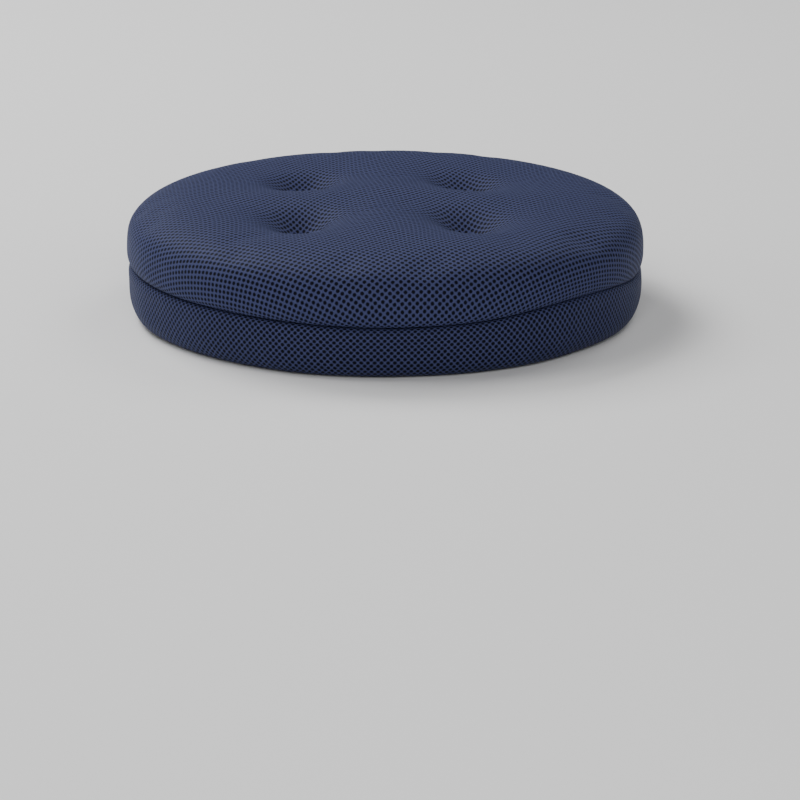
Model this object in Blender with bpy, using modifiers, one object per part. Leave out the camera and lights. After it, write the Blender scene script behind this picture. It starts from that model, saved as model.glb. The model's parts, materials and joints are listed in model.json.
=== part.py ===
"""Round tufted seat cushion with a fitted skirt, for a bar stool's 300 mm seat.

Metres. The origin is the centre of the face that rests on the stool seat, +Z is up,
-Y is the front, and the zip closes the back half of the waist seam.
"""
import math

import bmesh
import bpy
from mathutils import Matrix, Vector

# Outer form
PAD_RADIUS = 0.163
PAD_TOP = 0.0385
PAD_CROWN = 0.0035
CROWN_EXPONENT = 1.5
PAD_WIDEST = 0.0085
SHOULDER_WIDTH = 0.041
SHOULDER_EXPONENT = 2.7
FLAT_RADIUS = PAD_RADIUS - SHOULDER_WIDTH
SKIRT_RADIUS = 0.162
SKIRT_WIDEST = -0.0040
SKIRT_BOTTOM = -0.0325
TUCK_WIDTH = 0.017
TUCK_EXPONENT = 3.5
COVER_THICKNESS = 0.0030
STEPS = 40

# Waist groove: a tight crease at the front, a channel for the zip at the back
GROOVE_Z = 0.0015
GROOVE_RADIUS = 0.1565
GROOVE_FLOOR = 0.1542
CREASE_HALF = 0.0006
CHANNEL_EXTRA = 0.0040
CHANNEL_REACH = 0.018
CHANNEL_FULL = math.radians(10)
CHANNEL_SHUT = math.radians(-2)

# Tufts
TUFT_SPACING = (0.104, 0.096)
TUFT_RING = math.hypot(*TUFT_SPACING) / 2
TUFT_RING_STEP = 0.008
TUFT_RADIUS = 0.031
TUFT_SLOPES = (0.30, 1.20)
TUFT_LIP = 0.0025
TUFT_TIP = 0.0030
TWINE_RADIUS = 0.0006
TWINE_HALF_SPAN = 0.0025
TWINE_CORNER = 0.0010
TWINE_RISE = 0.0040
TWINE_SLACK = 0.0004
TWINE_HOLE_RADIUS = 0.0011
ANCHOR_RADIUS = 0.011
ANCHOR_Z = (0.0045, 0.0070)
ANCHOR_CLEARANCE = 0.0008

# Layers under the pad, as (lowest, highest) Z
GRIP_RADIUS = 0.116
GRIP_Z = (0.0, 0.0012)
BASE_RADIUS = 0.1508
BASE_Z = (0.0015, 0.0025)
SUPPORT_RADIUS = 0.150
SUPPORT_Z = (0.0028, 0.0140)
COMFORT_BOTTOM = 0.0143
FOAM_CLEARANCE = 0.0020

# Skirt, from the seat pocket outwards
POCKET_RADIUS = 0.150
POCKET_FLOOR = -0.0262
LINING_THICKNESS = 0.0010
LINING_TOP = 0.0012
LINING_FLANGE_RADIUS = 0.131
LINING_CORNER = 0.0020
PADDING_RADII = (0.1514, 0.1580)
PADDING_Z = (-0.0245, -0.0080)
PADDING_EXPONENT = 3
HEM_THICKNESS = 0.0010
HEM_Z = -0.0312
HEM_OUTER_RADIUS = 0.1444
HEM_OVERLAP = 0.0080
HEM_INNER_RADIUS = 0.1225
HEM_RISE = 0.0038
HEM_GAP = 0.0006
ELASTIC_RADII = (0.1240, 0.1295)
ELASTIC_Z = (-0.0302, -0.0286)

# Zip
TAPE_RADIUS = 0.15315
TAPE_THICKNESS = 0.0005
TAPE_GAP = 0.0007
TAPE_HEIGHT = 0.0070
TAPE_START = math.radians(15.5)
SEAM_TAPE_START = math.radians(165)
COIL_START = math.radians(18.5)
COIL_RADIUS = 0.15490
COIL_THICKNESS = 0.0020
COIL_GAP = 0.00075
COIL_HEIGHT = 0.0018
SLIDER_ANGLE = math.radians(20.6)
SLIDER_LENGTH = 0.0092
SLIDER_WIDTH = 0.0070
SLIDER_PLATE = 0.0010
SLIDER_INNER_RADIUS = 0.15150
SLIDER_OUTER_RADIUS = 0.15620
SLIDER_RAIL = 0.0007
SLIDER_CLEARANCE = 0.0004
SLIDER_POST = (0.0022, 0.0008)
SLIDER_BEVEL = 0.00015
BRIDGE_LENGTH = 0.0062
BRIDGE_WIDTH = 0.0012
BRIDGE_RISE = 0.0017
BRIDGE_THICKNESS = 0.0008
STOP_ANGLE = math.radians(17.8)
STOP_SIZE = (0.0022, 0.0022, 0.0054)
STOP_BEVEL = 0.0004
PULL_THICKNESS = 0.0010
PULL_LENGTH = 0.0200
PULL_WIDTH = 0.0044
PULL_BAR = 0.0010
PULL_CORNER = 0.0012
EYE_LENGTH = 0.0038
EYE_WIDTH = 0.0026
EYE_CORNER = 0.0002
CORNER_STEPS = 4

HOLE_SEGMENTS = 10
DISC_SEGMENTS = 24
OVERSHOOT = 0.002
MERGE = 0.00001
STRIP_STEP = math.radians(4.5)

COLOURS = {
    "navy_mesh": ((0.035, 0.050, 0.105), 0.75, 0.0),
    "navy_weave": ((0.030, 0.040, 0.080), 0.80, 0.0),
    "black_knit": ((0.015, 0.017, 0.022), 0.85, 0.0),
    "grip_grey": ((0.080, 0.085, 0.095), 0.60, 0.0),
    "soft_foam": ((0.820, 0.780, 0.620), 0.90, 0.0),
    "firm_foam": ((0.560, 0.600, 0.640), 0.90, 0.0),
    "wadding": ((0.850, 0.850, 0.840), 0.95, 0.0),
    "elastic": ((0.700, 0.700, 0.690), 0.70, 0.0),
    "twine": ((0.030, 0.040, 0.080), 0.55, 0.0),
    "anchor_plastic": ((0.040, 0.040, 0.045), 0.45, 0.0),
    "zip_tape": ((0.020, 0.028, 0.060), 0.80, 0.0),
    "zip_coil": ((0.022, 0.030, 0.065), 0.40, 0.0),
    "zip_metal": ((0.550, 0.560, 0.580), 0.30, 1.0),
}


def clear_scene():
    """Remove every object and collection that the scene starts with."""
    for thing in list(bpy.data.objects):
        bpy.data.objects.remove(thing)
    for collection in list(bpy.data.collections):
        bpy.data.collections.remove(collection)


def new_collection(name):
    """Make a collection in the scene."""
    collection = bpy.data.collections.new(name)
    bpy.context.scene.collection.children.link(collection)
    return collection


def new_material(name):
    """Make a Principled material from the table of colours."""
    colour, roughness, metallic = COLOURS[name]
    material = bpy.data.materials.new(name)
    material.use_nodes = True
    shader = material.node_tree.nodes["Principled BSDF"]
    shader.inputs["Base Color"].default_value = (*colour, 1.0)
    shader.inputs["Roughness"].default_value = roughness
    shader.inputs["Metallic"].default_value = metallic
    material.diffuse_color = (*colour, 1.0)
    return material


def add_object(name, data, collection, material_name=None):
    """Put mesh or curve data in the scene as a named object."""
    thing = bpy.data.objects.new(name, data)
    collection.objects.link(thing)
    if material_name:
        data.materials.clear()
        data.materials.append(new_material(material_name))
        thing.data.materials[0].name = name + "_" + material_name
    return thing


def evaluated_mesh(thing):
    """Turn an object's evaluated shape into a welded mesh, in world space, and remove the object."""
    bpy.context.view_layer.update()
    depsgraph = bpy.context.evaluated_depsgraph_get()
    mesh = bpy.data.meshes.new_from_object(thing.evaluated_get(depsgraph))
    mesh.transform(thing.matrix_world)
    bpy.data.objects.remove(thing)
    work = bmesh.new()
    work.from_mesh(mesh)
    bmesh.ops.remove_doubles(work, verts=work.verts, dist=MERGE)
    work.to_mesh(mesh)
    work.free()
    return mesh


def shade(mesh, angle=40):
    """Shade a mesh smooth, with sharp edges past an angle in degrees."""
    mesh.shade_smooth()
    mesh.set_sharp_from_angle(angle=math.radians(angle))


def ellipse_arc(centre, half, exponent, start, end, count):
    """Points (r, z) on a superellipse, from one angle in degrees to another."""
    points = []
    for i in range(count):
        angle = math.radians(start + (end - start) * i / (count - 1))
        cosine = math.cos(angle)
        sine = math.sin(angle)
        across = math.copysign(abs(cosine) ** (2 / exponent), cosine)
        up = math.copysign(abs(sine) ** (2 / exponent), sine)
        points.append((centre[0] + half[0] * across, centre[1] + half[1] * up))
    return points


def turned_mesh(points, closed=False, start=0.0, sweep=2 * math.pi, steps=STEPS):
    """Turn a profile of (r, z) points about Z; a closed profile joins its ends."""
    count = len(points)
    edges = [(i, i + 1) for i in range(count - 1)]
    if closed:
        edges.append((count - 1, 0))
    mesh = bpy.data.meshes.new("profile")
    mesh.from_pydata([(r, 0.0, z) for r, z in points], edges, [])
    profile = add_object("profile", mesh, bpy.context.scene.collection)
    profile.rotation_euler.z = start
    screw = profile.modifiers.new("Turn", "SCREW")
    screw.axis = "Z"
    screw.angle = sweep
    screw.steps = steps
    screw.render_steps = steps
    screw.use_merge_vertices = True
    screw.merge_threshold = MERGE
    return evaluated_mesh(profile)


def solidify(thing, thickness, offset):
    """Give an open surface its thickness; offset -1 grows it inwards, 0 both ways."""
    shell = thing.modifiers.new("Thickness", "SOLIDIFY")
    shell.thickness = thickness
    shell.offset = offset
    shell.use_even_offset = True


def primitive_mesh(kind, matrix, **settings):
    """A bmesh primitive, placed by a matrix, as a mesh."""
    work = bmesh.new()
    getattr(bmesh.ops, kind)(work, matrix=matrix, **settings)
    mesh = bpy.data.meshes.new(kind)
    work.to_mesh(mesh)
    work.free()
    return mesh


def box_mesh(centre, size):
    """A box with its sides along X, Y and Z."""
    matrix = Matrix.Translation(centre) @ Matrix.Diagonal((*size, 1.0))
    return primitive_mesh("create_cube", matrix, size=1.0)


def rod_mesh(centre, radius, low, high, segments):
    """A solid cylinder along Z."""
    matrix = Matrix.Translation((centre[0], centre[1], (low + high) / 2))
    size = {"radius1": radius, "radius2": radius, "depth": high - low}
    return primitive_mesh("create_cone", matrix, cap_ends=True, segments=segments, **size)


def boolean(thing, meshes, operation, cutters):
    """Cut or join meshes to an object with one Boolean for each mesh."""
    for i, mesh in enumerate(meshes):
        tool = add_object(f"{thing.name}_{operation.lower()}_{i + 1}", mesh, cutters)
        tool.hide_render = True
        tool.display_type = "WIRE"
        modifier = thing.modifiers.new(tool.name, "BOOLEAN")
        modifier.operation = operation
        modifier.object = tool
        modifier.solver = "EXACT"


def bevel(thing, width, segments=2):
    """Round an object's hard edges."""
    rounding = thing.modifiers.new("Rounding", "BEVEL")
    rounding.width = width
    rounding.segments = segments
    rounding.limit_method = "ANGLE"
    rounding.angle_limit = math.radians(50)


def smoothstep(value):
    """Ease from 0 to 1."""
    value = min(max(value, 0.0), 1.0)
    return value * value * (3 - 2 * value)


def rear_share(x, y):
    """How far the zip channel is open at a point: 0 in front, 1 behind."""
    angle = math.atan2(y, abs(x))
    return smoothstep((angle - CHANNEL_SHUT) / (CHANNEL_FULL - CHANNEL_SHUT))


def tuft_centres():
    """The four tufts' places, in a rectangle round the axis."""
    half_x, half_y = (spacing / 2 for spacing in TUFT_SPACING)
    return [Vector((x, y)) for y in (-half_y, half_y) for x in (-half_x, half_x)]


def tuft_profile(distance):
    """One tuft's drop: a soft lip, then a wall that steepens towards the twine."""
    outer, inner = TUFT_SLOPES
    inside = TUFT_RADIUS - math.hypot(distance, TUFT_TIP)
    run = TUFT_LIP * math.log1p(math.exp(inside / TUFT_LIP))
    return outer * run + (inner - outer) * run * run / (2 * TUFT_RADIUS)


def tuft_drop(x, y):
    """How deep the tufts pull the pad's top at a point."""
    place = Vector((x, y))
    return sum(tuft_profile((place - centre).length) for centre in tuft_centres())


def crown_height(radius):
    """The height of the pad's gently domed top, before it is tufted."""
    return PAD_TOP + PAD_CROWN * (1 - (radius / FLAT_RADIUS) ** 2) ** CROWN_EXPONENT


def pad_profile():
    """The pad's outer profile from the top's centre to the groove's floor."""
    inner_ring = TUFT_RING - 3 * TUFT_RING_STEP
    rings = [0.0, inner_ring / 2] + [TUFT_RING + step * TUFT_RING_STEP for step in range(-3, 4)]
    points = [(radius, crown_height(radius)) for radius in rings]
    shoulder = (SHOULDER_WIDTH, PAD_TOP - PAD_WIDEST)
    points += ellipse_arc((FLAT_RADIUS, PAD_WIDEST), shoulder, SHOULDER_EXPONENT, 90, 0, 7)
    lip = (PAD_RADIUS - GROOVE_RADIUS, PAD_WIDEST - GROOVE_Z - CREASE_HALF)
    points += ellipse_arc((GROOVE_RADIUS, PAD_WIDEST), lip, 2, 0, -90, 3)[1:]
    points.append((GROOVE_FLOOR, GROOVE_Z + CREASE_HALF))
    return points


def skirt_profile():
    """The skirt's outer profile from the groove's floor to its inner edge underneath."""
    top = GROOVE_Z - CREASE_HALF
    points = [(GROOVE_FLOOR, top)]
    lip = (SKIRT_RADIUS - GROOVE_RADIUS, top - SKIRT_WIDEST)
    points += ellipse_arc((GROOVE_RADIUS, SKIRT_WIDEST), lip, 2, 90, 0, 3)
    tuck_radius = SKIRT_RADIUS - TUCK_WIDTH
    tuck = (TUCK_WIDTH, SKIRT_WIDEST - SKIRT_BOTTOM)
    points += ellipse_arc((tuck_radius, SKIRT_WIDEST), tuck, TUCK_EXPONENT, 0, -90, 6)[1:]
    return points


def open_channel(vertex):
    """Spread the groove's lips for the zip, round the back."""
    below = vertex.co.z < GROOVE_Z
    lip = GROOVE_Z - CREASE_HALF if below else GROOVE_Z + CREASE_HALF
    share = max(0.0, 1 - abs(vertex.co.z - lip) / CHANNEL_REACH)
    shift = CHANNEL_EXTRA * share * rear_share(vertex.co.x, vertex.co.y)
    vertex.co.z += -shift if below else shift


def pad_surface():
    """The pad's outer surface, with its tufts pulled down and its channel open."""
    mesh = turned_mesh(pad_profile())
    for vertex in mesh.vertices:
        vertex.co.z -= tuft_drop(vertex.co.x, vertex.co.y)
        open_channel(vertex)
    return mesh


def twine_hole_meshes(low, high):
    """Rods where the eight legs of twine pass through a layer."""
    rods = []
    for centre in tuft_centres():
        outward = centre.normalized() * TWINE_HALF_SPAN
        for leg in (centre - outward, centre + outward):
            rods.append(rod_mesh(leg, TWINE_HOLE_RADIUS, low, high, HOLE_SEGMENTS))
    return rods


def joined(meshes):
    """Several separate meshes as one."""
    work = bmesh.new()
    for mesh in meshes:
        work.from_mesh(mesh)
    result = bpy.data.meshes.new("joined")
    work.to_mesh(result)
    work.free()
    return result


def make_top_cover(parts, cutters):
    """The mesh panel over the pad."""
    mesh = pad_surface()
    cover = add_object("top_cover", mesh, parts, "navy_mesh")
    solidify(cover, COVER_THICKNESS, -1)
    holes = joined(twine_hole_meshes(COMFORT_BOTTOM, PAD_TOP))
    boolean(cover, [holes], "DIFFERENCE", cutters)
    shade(mesh)


def make_comfort_foam(parts, cutters):
    """The thick soft layer, shaped like the cover's inside down to a flat bottom."""
    mesh = pad_surface()
    work = bmesh.new()
    work.from_mesh(mesh)
    bmesh.ops.recalc_face_normals(work, faces=work.faces)
    work.normal_update()
    inset = COVER_THICKNESS + FOAM_CLEARANCE
    moved = [(vertex, vertex.co - vertex.normal * inset) for vertex in work.verts]
    for vertex, place in moved:
        vertex.co = place
    floor = Vector((0.0, 0.0, COMFORT_BOTTOM))
    everything = work.verts[:] + work.edges[:] + work.faces[:]
    bmesh.ops.bisect_plane(work, geom=everything, plane_co=floor, plane_no=(0, 0, 1), clear_inner=True)
    rim = [edge for edge in work.edges if edge.is_boundary]
    bmesh.ops.edgeloop_fill(work, edges=rim)
    bmesh.ops.recalc_face_normals(work, faces=work.faces)
    work.to_mesh(mesh)
    work.free()
    foam = add_object("comfort_foam", mesh, parts, "soft_foam")
    holes = joined(twine_hole_meshes(COMFORT_BOTTOM - OVERSHOOT, PAD_TOP))
    boolean(foam, [holes], "DIFFERENCE", cutters)
    shade(mesh)


def make_disc(name, radius, layer, material_name, parts):
    """A flat round layer."""
    mesh = rod_mesh((0.0, 0.0), radius, layer[0], layer[1], STEPS)
    shade(mesh)
    return add_object(name, mesh, parts, material_name)


def make_support_foam(parts, cutters):
    """The firm disc, with a pocket underneath for each anchor."""
    foam = make_disc("support_foam", SUPPORT_RADIUS, SUPPORT_Z, "firm_foam", parts)
    radius = ANCHOR_RADIUS + ANCHOR_CLEARANCE
    bottom = SUPPORT_Z[0] - OVERSHOOT
    top = ANCHOR_Z[1] + ANCHOR_CLEARANCE
    pockets = [rod_mesh(centre, radius, bottom, top, DISC_SEGMENTS) for centre in tuft_centres()]
    holes = twine_hole_meshes(ANCHOR_Z[1], SUPPORT_Z[1] + OVERSHOOT)
    boolean(foam, [joined(pockets), joined(holes)], "DIFFERENCE", cutters)


def make_tufts(parts, cutters):
    """Four loops of twine, each held by a two-hole anchor under the foam."""
    top = crown_height(TUFT_RING) - tuft_profile(0.0) + TWINE_RISE
    bottom = ANCHOR_Z[0] - TWINE_RADIUS - TWINE_SLACK
    for number, centre in enumerate(tuft_centres(), 1):
        anchor_mesh = rod_mesh(centre, ANCHOR_RADIUS, ANCHOR_Z[0], ANCHOR_Z[1], DISC_SEGMENTS)
        shade(anchor_mesh)
        anchor = add_object(f"tuft_anchor_{number}", anchor_mesh, parts, "anchor_plastic")
        outward = centre.normalized() * TWINE_HALF_SPAN
        low = ANCHOR_Z[0] - OVERSHOOT
        high = ANCHOR_Z[1] + OVERSHOOT
        legs = (centre - outward, centre + outward)
        holes = joined([rod_mesh(leg, TWINE_HOLE_RADIUS, low, high, HOLE_SEGMENTS) for leg in legs])
        boolean(anchor, [holes], "DIFFERENCE", cutters)
        make_twine(f"tuft_twine_{number}", centre, outward, bottom, top, parts)


def make_twine(name, centre, outward, bottom, top, parts):
    """One closed loop of twine: two legs, a stitch on top and a bight underneath."""
    curve = bpy.data.curves.new(name, "CURVE")
    curve.dimensions = "3D"
    curve.bevel_depth = TWINE_RADIUS
    curve.bevel_resolution = 1
    path = []
    for end, side in ((top, 1), (bottom, -1)):
        for direction in (-side, side):
            turn = (0, 45, 90) if direction == -side else (90, 45, 0)
            for angle in turn:
                bend = TWINE_CORNER * math.cos(math.radians(angle))
                across = direction * (TWINE_HALF_SPAN - TWINE_CORNER + bend)
                height = end - side * TWINE_CORNER * (1 - math.sin(math.radians(angle)))
                path.append((across, height))
    spline = curve.splines.new("POLY")
    spline.points.add(len(path) - 1)
    unit = outward.normalized()
    for point, (across, height) in zip(spline.points, path):
        place = centre + unit * across
        point.co = (place.x, place.y, height, 1.0)
    spline.use_cyclic_u = True
    add_object(name, curve, parts, "twine")


def make_skirt(parts):
    """The skirt's cover, padding and lining."""
    mesh = turned_mesh(skirt_profile())
    for vertex in mesh.vertices:
        open_channel(vertex)
    shade(mesh)
    cover = add_object("skirt_cover", mesh, parts, "navy_mesh")
    solidify(cover, COVER_THICKNESS, -1)

    inner, outer = PADDING_RADII
    low, high = PADDING_Z
    middle = ((inner + outer) / 2, (low + high) / 2)
    half = ((outer - inner) / 2, (high - low) / 2)
    section = ellipse_arc(middle, half, PADDING_EXPONENT, 360, 45, 8)
    padding_mesh = turned_mesh(section, closed=True)
    shade(padding_mesh)
    add_object("skirt_padding", padding_mesh, parts, "wadding")

    corner_centre = (POCKET_RADIUS - LINING_CORNER, POCKET_FLOOR + LINING_CORNER)
    section = [(LINING_FLANGE_RADIUS, POCKET_FLOOR)]
    section += ellipse_arc(corner_centre, (LINING_CORNER, LINING_CORNER), 2, -90, 0, 3)
    section.append((POCKET_RADIUS, LINING_TOP))
    lining_mesh = turned_mesh(section)
    shade(lining_mesh)
    lining = add_object("skirt_lining", lining_mesh, parts, "black_knit")
    solidify(lining, LINING_THICKNESS, -1)


def make_hem(parts):
    """The turned-in casing under the seat, and the elastic ring in it."""
    rounding = HEM_RISE / 2
    turn_centre = (HEM_INNER_RADIUS + rounding, HEM_Z + rounding)
    section = [(HEM_OUTER_RADIUS, HEM_Z), (HEM_OUTER_RADIUS - HEM_OVERLAP, HEM_Z)]
    section += ellipse_arc(turn_centre, (rounding, rounding), 2, 270, 90, 4)
    section.append((LINING_FLANGE_RADIUS - HEM_GAP, HEM_Z + HEM_RISE))
    mesh = turned_mesh(section)
    shade(mesh)
    hem = add_object("hem_band", mesh, parts, "black_knit")
    solidify(hem, HEM_THICKNESS, 0)

    elastic_in, elastic_out = ELASTIC_RADII
    low, high = ELASTIC_Z
    corners = [(elastic_out, high), (elastic_out, low), (elastic_in, low), (elastic_in, high)]
    elastic_mesh = turned_mesh(corners, closed=True)
    shade(elastic_mesh)
    add_object("hem_elastic", elastic_mesh, parts, "elastic")


def make_strip(name, radius, low, high, start, sweep, thickness, material_name, parts):
    """A band bent round the axis, standing up from low to high."""
    steps = round(sweep / STRIP_STEP)
    mesh = turned_mesh([(radius, high), (radius, low)], start=start, sweep=sweep, steps=steps)
    shade(mesh)
    strip = add_object(name, mesh, parts, material_name)
    solidify(strip, thickness, 0)


def make_waist(parts):
    """The seam tape round the front, and the zip's tapes and coils round the back."""
    make_strip(
        "waist_seam_tape",
        TAPE_RADIUS,
        GROOVE_Z - TAPE_HEIGHT,
        GROOVE_Z + TAPE_HEIGHT,
        SEAM_TAPE_START,
        3 * math.pi - 2 * SEAM_TAPE_START,
        TAPE_THICKNESS,
        "navy_weave",
        parts,
    )
    tape_sweep = math.pi - 2 * TAPE_START
    coil_sweep = math.pi - 2 * COIL_START
    for name, side in (("upper", 1), ("lower", -1)):
        near = GROOVE_Z + side * TAPE_GAP
        far = GROOVE_Z + side * TAPE_HEIGHT
        low, high = sorted((near, far))
        tape = (TAPE_RADIUS, low, high, TAPE_START, tape_sweep, TAPE_THICKNESS)
        make_strip(f"zip_tape_{name}", *tape, "zip_tape", parts)
        near = GROOVE_Z + side * COIL_GAP
        far = GROOVE_Z + side * (COIL_GAP + COIL_HEIGHT)
        low, high = sorted((near, far))
        coil = (COIL_RADIUS, low, high, COIL_START, coil_sweep, COIL_THICKNESS)
        make_strip(f"zip_coil_{name}", *coil, "zip_coil", parts)


def make_stops(parts):
    """A metal stop at each end of the coils."""
    for name, angle in (("start", STOP_ANGLE), ("end", math.pi - STOP_ANGLE)):
        mesh = box_mesh((COIL_RADIUS, 0.0, GROOVE_Z), STOP_SIZE)
        stop = add_object(f"zip_stop_{name}", mesh, parts, "zip_metal")
        stop.rotation_euler.z = angle
        bevel(stop, STOP_BEVEL)


def make_slider(parts, cutters):
    """The slider: two plates with rails and a post, and a bridge for the pull."""
    axis = bpy.data.objects.new("zip_travel_axis", None)
    parts.objects.link(axis)
    half = SLIDER_WIDTH / 2
    inner_centre = SLIDER_INNER_RADIUS + SLIDER_PLATE / 2
    outer_centre = SLIDER_OUTER_RADIUS + SLIDER_PLATE / 2
    plate = (SLIDER_PLATE, SLIDER_LENGTH, SLIDER_WIDTH)
    outer_face = SLIDER_OUTER_RADIUS + SLIDER_PLATE
    meshes = [box_mesh((inner_centre, 0.0, GROOVE_Z), plate)]
    post_length, post_width = SLIDER_POST
    post_depth = outer_centre - inner_centre
    post_centre = ((inner_centre + outer_centre) / 2, 0.0, GROOVE_Z)
    meshes.append(box_mesh(post_centre, (post_depth, post_length, post_width)))
    rail_depth = SLIDER_OUTER_RADIUS - TAPE_RADIUS - TAPE_THICKNESS / 2 - SLIDER_CLEARANCE
    for side in (1, -1):
        rail_height = GROOVE_Z + side * (half - SLIDER_RAIL / 2)
        rail_radius = SLIDER_OUTER_RADIUS - rail_depth / 2 + SLIDER_PLATE / 4
        rail = (rail_depth + SLIDER_PLATE / 2, SLIDER_LENGTH, SLIDER_RAIL)
        meshes.append(box_mesh((rail_radius, 0.0, rail_height), rail))
        leg_place = side * (BRIDGE_LENGTH - BRIDGE_THICKNESS) / 2
        leg_rise = BRIDGE_RISE + BRIDGE_THICKNESS + SLIDER_PLATE / 2
        leg_radius = outer_face - SLIDER_PLATE / 2 + leg_rise / 2
        meshes.append(box_mesh((leg_radius, leg_place, GROOVE_Z), (leg_rise, BRIDGE_THICKNESS, BRIDGE_WIDTH)))
    beam_radius = outer_face + BRIDGE_RISE + BRIDGE_THICKNESS / 2
    meshes.append(box_mesh((beam_radius, 0.0, GROOVE_Z), (BRIDGE_THICKNESS, BRIDGE_LENGTH, BRIDGE_WIDTH)))
    body = box_mesh((outer_centre, 0.0, GROOVE_Z), plate)
    slider = add_object("zip_slider", body, parts, "zip_metal")
    slider.parent = axis
    slider.rotation_euler.z = SLIDER_ANGLE
    boolean(slider, meshes, "UNION", cutters)
    for tool in cutters.objects:
        if tool.name.startswith("zip_slider"):
            tool.rotation_euler.z = SLIDER_ANGLE
    bevel(slider, SLIDER_BEVEL, 1)


def rounded_outline(curve, low, high, width, corner):
    """Add a closed rectangle with round corners, from low to high along X."""
    points = []
    half = width / 2
    for centre_x, centre_y, start in (
        (high - corner, half - corner, 0),
        (low + corner, half - corner, 90),
        (low + corner, corner - half, 180),
        (high - corner, corner - half, 270),
    ):
        for step in range(CORNER_STEPS + 1):
            angle = math.radians(start + 90 * step / CORNER_STEPS)
            points.append((centre_x + corner * math.cos(angle), centre_y + corner * math.sin(angle)))
    spline = curve.splines.new("POLY")
    spline.points.add(len(points) - 1)
    for point, (x, y) in zip(spline.points, points):
        point.co = (x, y, 0.0, 1.0)
    spline.use_cyclic_u = True


def make_pull(parts):
    """The flat pull, whose end bar turns under the slider's bridge."""
    curve = bpy.data.curves.new("pull_outline", "CURVE")
    curve.dimensions = "2D"
    curve.fill_mode = "BOTH"
    curve.extrude = PULL_THICKNESS / 2
    bar_half = PULL_BAR / 2
    rounded_outline(curve, -bar_half, PULL_LENGTH - bar_half, PULL_WIDTH, PULL_CORNER)
    rounded_outline(curve, bar_half, bar_half + EYE_LENGTH, EYE_WIDTH, EYE_CORNER)
    flat = add_object("pull_flat", curve, parts)
    mesh = evaluated_mesh(flat)
    shade(mesh)
    pull = add_object("zip_pull", mesh, parts, "zip_metal")
    outer_face = SLIDER_OUTER_RADIUS + SLIDER_PLATE
    radius = outer_face + BRIDGE_RISE / 2
    along = Vector((-math.sin(SLIDER_ANGLE), math.cos(SLIDER_ANGLE), 0.0))
    outward = Vector((math.cos(SLIDER_ANGLE), math.sin(SLIDER_ANGLE), 0.0))
    up = Vector((0.0, 0.0, 1.0))
    turn = Matrix((along, up, along.cross(up))).transposed().to_4x4()
    pull.matrix_world = Matrix.Translation(outward * radius + up * GROOVE_Z) @ turn


def build():
    """Make every piece of the cushion."""
    clear_scene()
    parts = new_collection("seat_cushion")
    cutters = new_collection("cutters")
    make_top_cover(parts, cutters)
    make_comfort_foam(parts, cutters)
    make_support_foam(parts, cutters)
    make_disc("base_panel", BASE_RADIUS, BASE_Z, "navy_weave", parts)
    make_disc("grip_sheet", GRIP_RADIUS, GRIP_Z, "grip_grey", parts)
    make_tufts(parts, cutters)
    make_skirt(parts)
    make_hem(parts)
    make_waist(parts)
    make_stops(parts)
    make_slider(parts, cutters)
    make_pull(parts)


build()
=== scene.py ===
"""The looks of the round tufted seat cushion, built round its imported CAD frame.

Metres, in the frame's own axes: +Z up, -Y the front, and the zip closes the back of the waist seam.
"""

import json
import math

import bmesh
import bpy
import numpy as np
from mathutils import Matrix, Vector, noise


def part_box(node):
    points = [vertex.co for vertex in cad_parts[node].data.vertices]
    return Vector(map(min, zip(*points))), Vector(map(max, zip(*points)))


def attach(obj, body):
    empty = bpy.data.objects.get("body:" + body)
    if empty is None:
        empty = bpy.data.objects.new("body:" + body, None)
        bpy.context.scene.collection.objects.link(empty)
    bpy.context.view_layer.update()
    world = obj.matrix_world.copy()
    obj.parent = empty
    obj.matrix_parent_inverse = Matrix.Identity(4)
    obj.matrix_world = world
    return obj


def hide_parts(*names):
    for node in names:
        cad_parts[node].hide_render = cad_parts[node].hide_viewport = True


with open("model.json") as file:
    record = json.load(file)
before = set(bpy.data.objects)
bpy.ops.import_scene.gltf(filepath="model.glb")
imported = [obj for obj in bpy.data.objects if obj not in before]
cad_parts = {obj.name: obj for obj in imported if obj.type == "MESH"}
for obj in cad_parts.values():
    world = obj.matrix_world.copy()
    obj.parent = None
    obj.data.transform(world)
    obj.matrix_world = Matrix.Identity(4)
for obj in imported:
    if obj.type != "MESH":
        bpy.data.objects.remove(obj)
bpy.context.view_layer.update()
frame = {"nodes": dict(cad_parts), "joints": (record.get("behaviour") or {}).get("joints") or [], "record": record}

# ---- sizes read from the frame
_, pad_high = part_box("top_cover")
skirt_low, skirt_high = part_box("skirt_cover")
tape_low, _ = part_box("zip_tape_upper")
PAD_RADIUS = pad_high.x
PAD_TOP = pad_high.z
SKIRT_RADIUS = skirt_high.x
SKIRT_BOTTOM = skirt_low.z
TAPE_GAP = 0.0007
GROOVE_Z = tape_low.z - TAPE_GAP
twine_low, twine_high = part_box("tuft_twine_4")
TUFT_HALF = ((twine_low.x + twine_high.x) / 2, (twine_low.y + twine_high.y) / 2)

# ---- the padded forms
PAD_CROWN = 0.0035
CROWN_EXPONENT = 1.5
PAD_WIDEST = 0.0085
SHOULDER_WIDTH = 0.041
SHOULDER_EXPONENT = 3.2
FLAT_RADIUS = PAD_RADIUS - SHOULDER_WIDTH
GROOVE_RADIUS = 0.1560
GROOVE_FLOOR = 0.1540
CREASE_HALF = 0.0002
SKIRT_WIDEST = -0.0040
TUCK_WIDTH = 0.017
TUCK_EXPONENT = 3.5
CREASE_DEPTH = 0.55
CREASE_REACH = 0.0120
SHALLOW_CREASE = (62, 34, 0.50)
WAIST_WAVES = ((0, 45, -0.0018), (47, 28, 0.0036), (82, 24, -0.0024))
WAIST_REACH = 0.020
LUMP_HEIGHT = 0.0011
LUMP_SCALES = (16.0, 42.0)
FINE_LUMP_SHARE = 0.45
FINE_LUMP_SHIFT = Vector((3, 1, 7))
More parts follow.
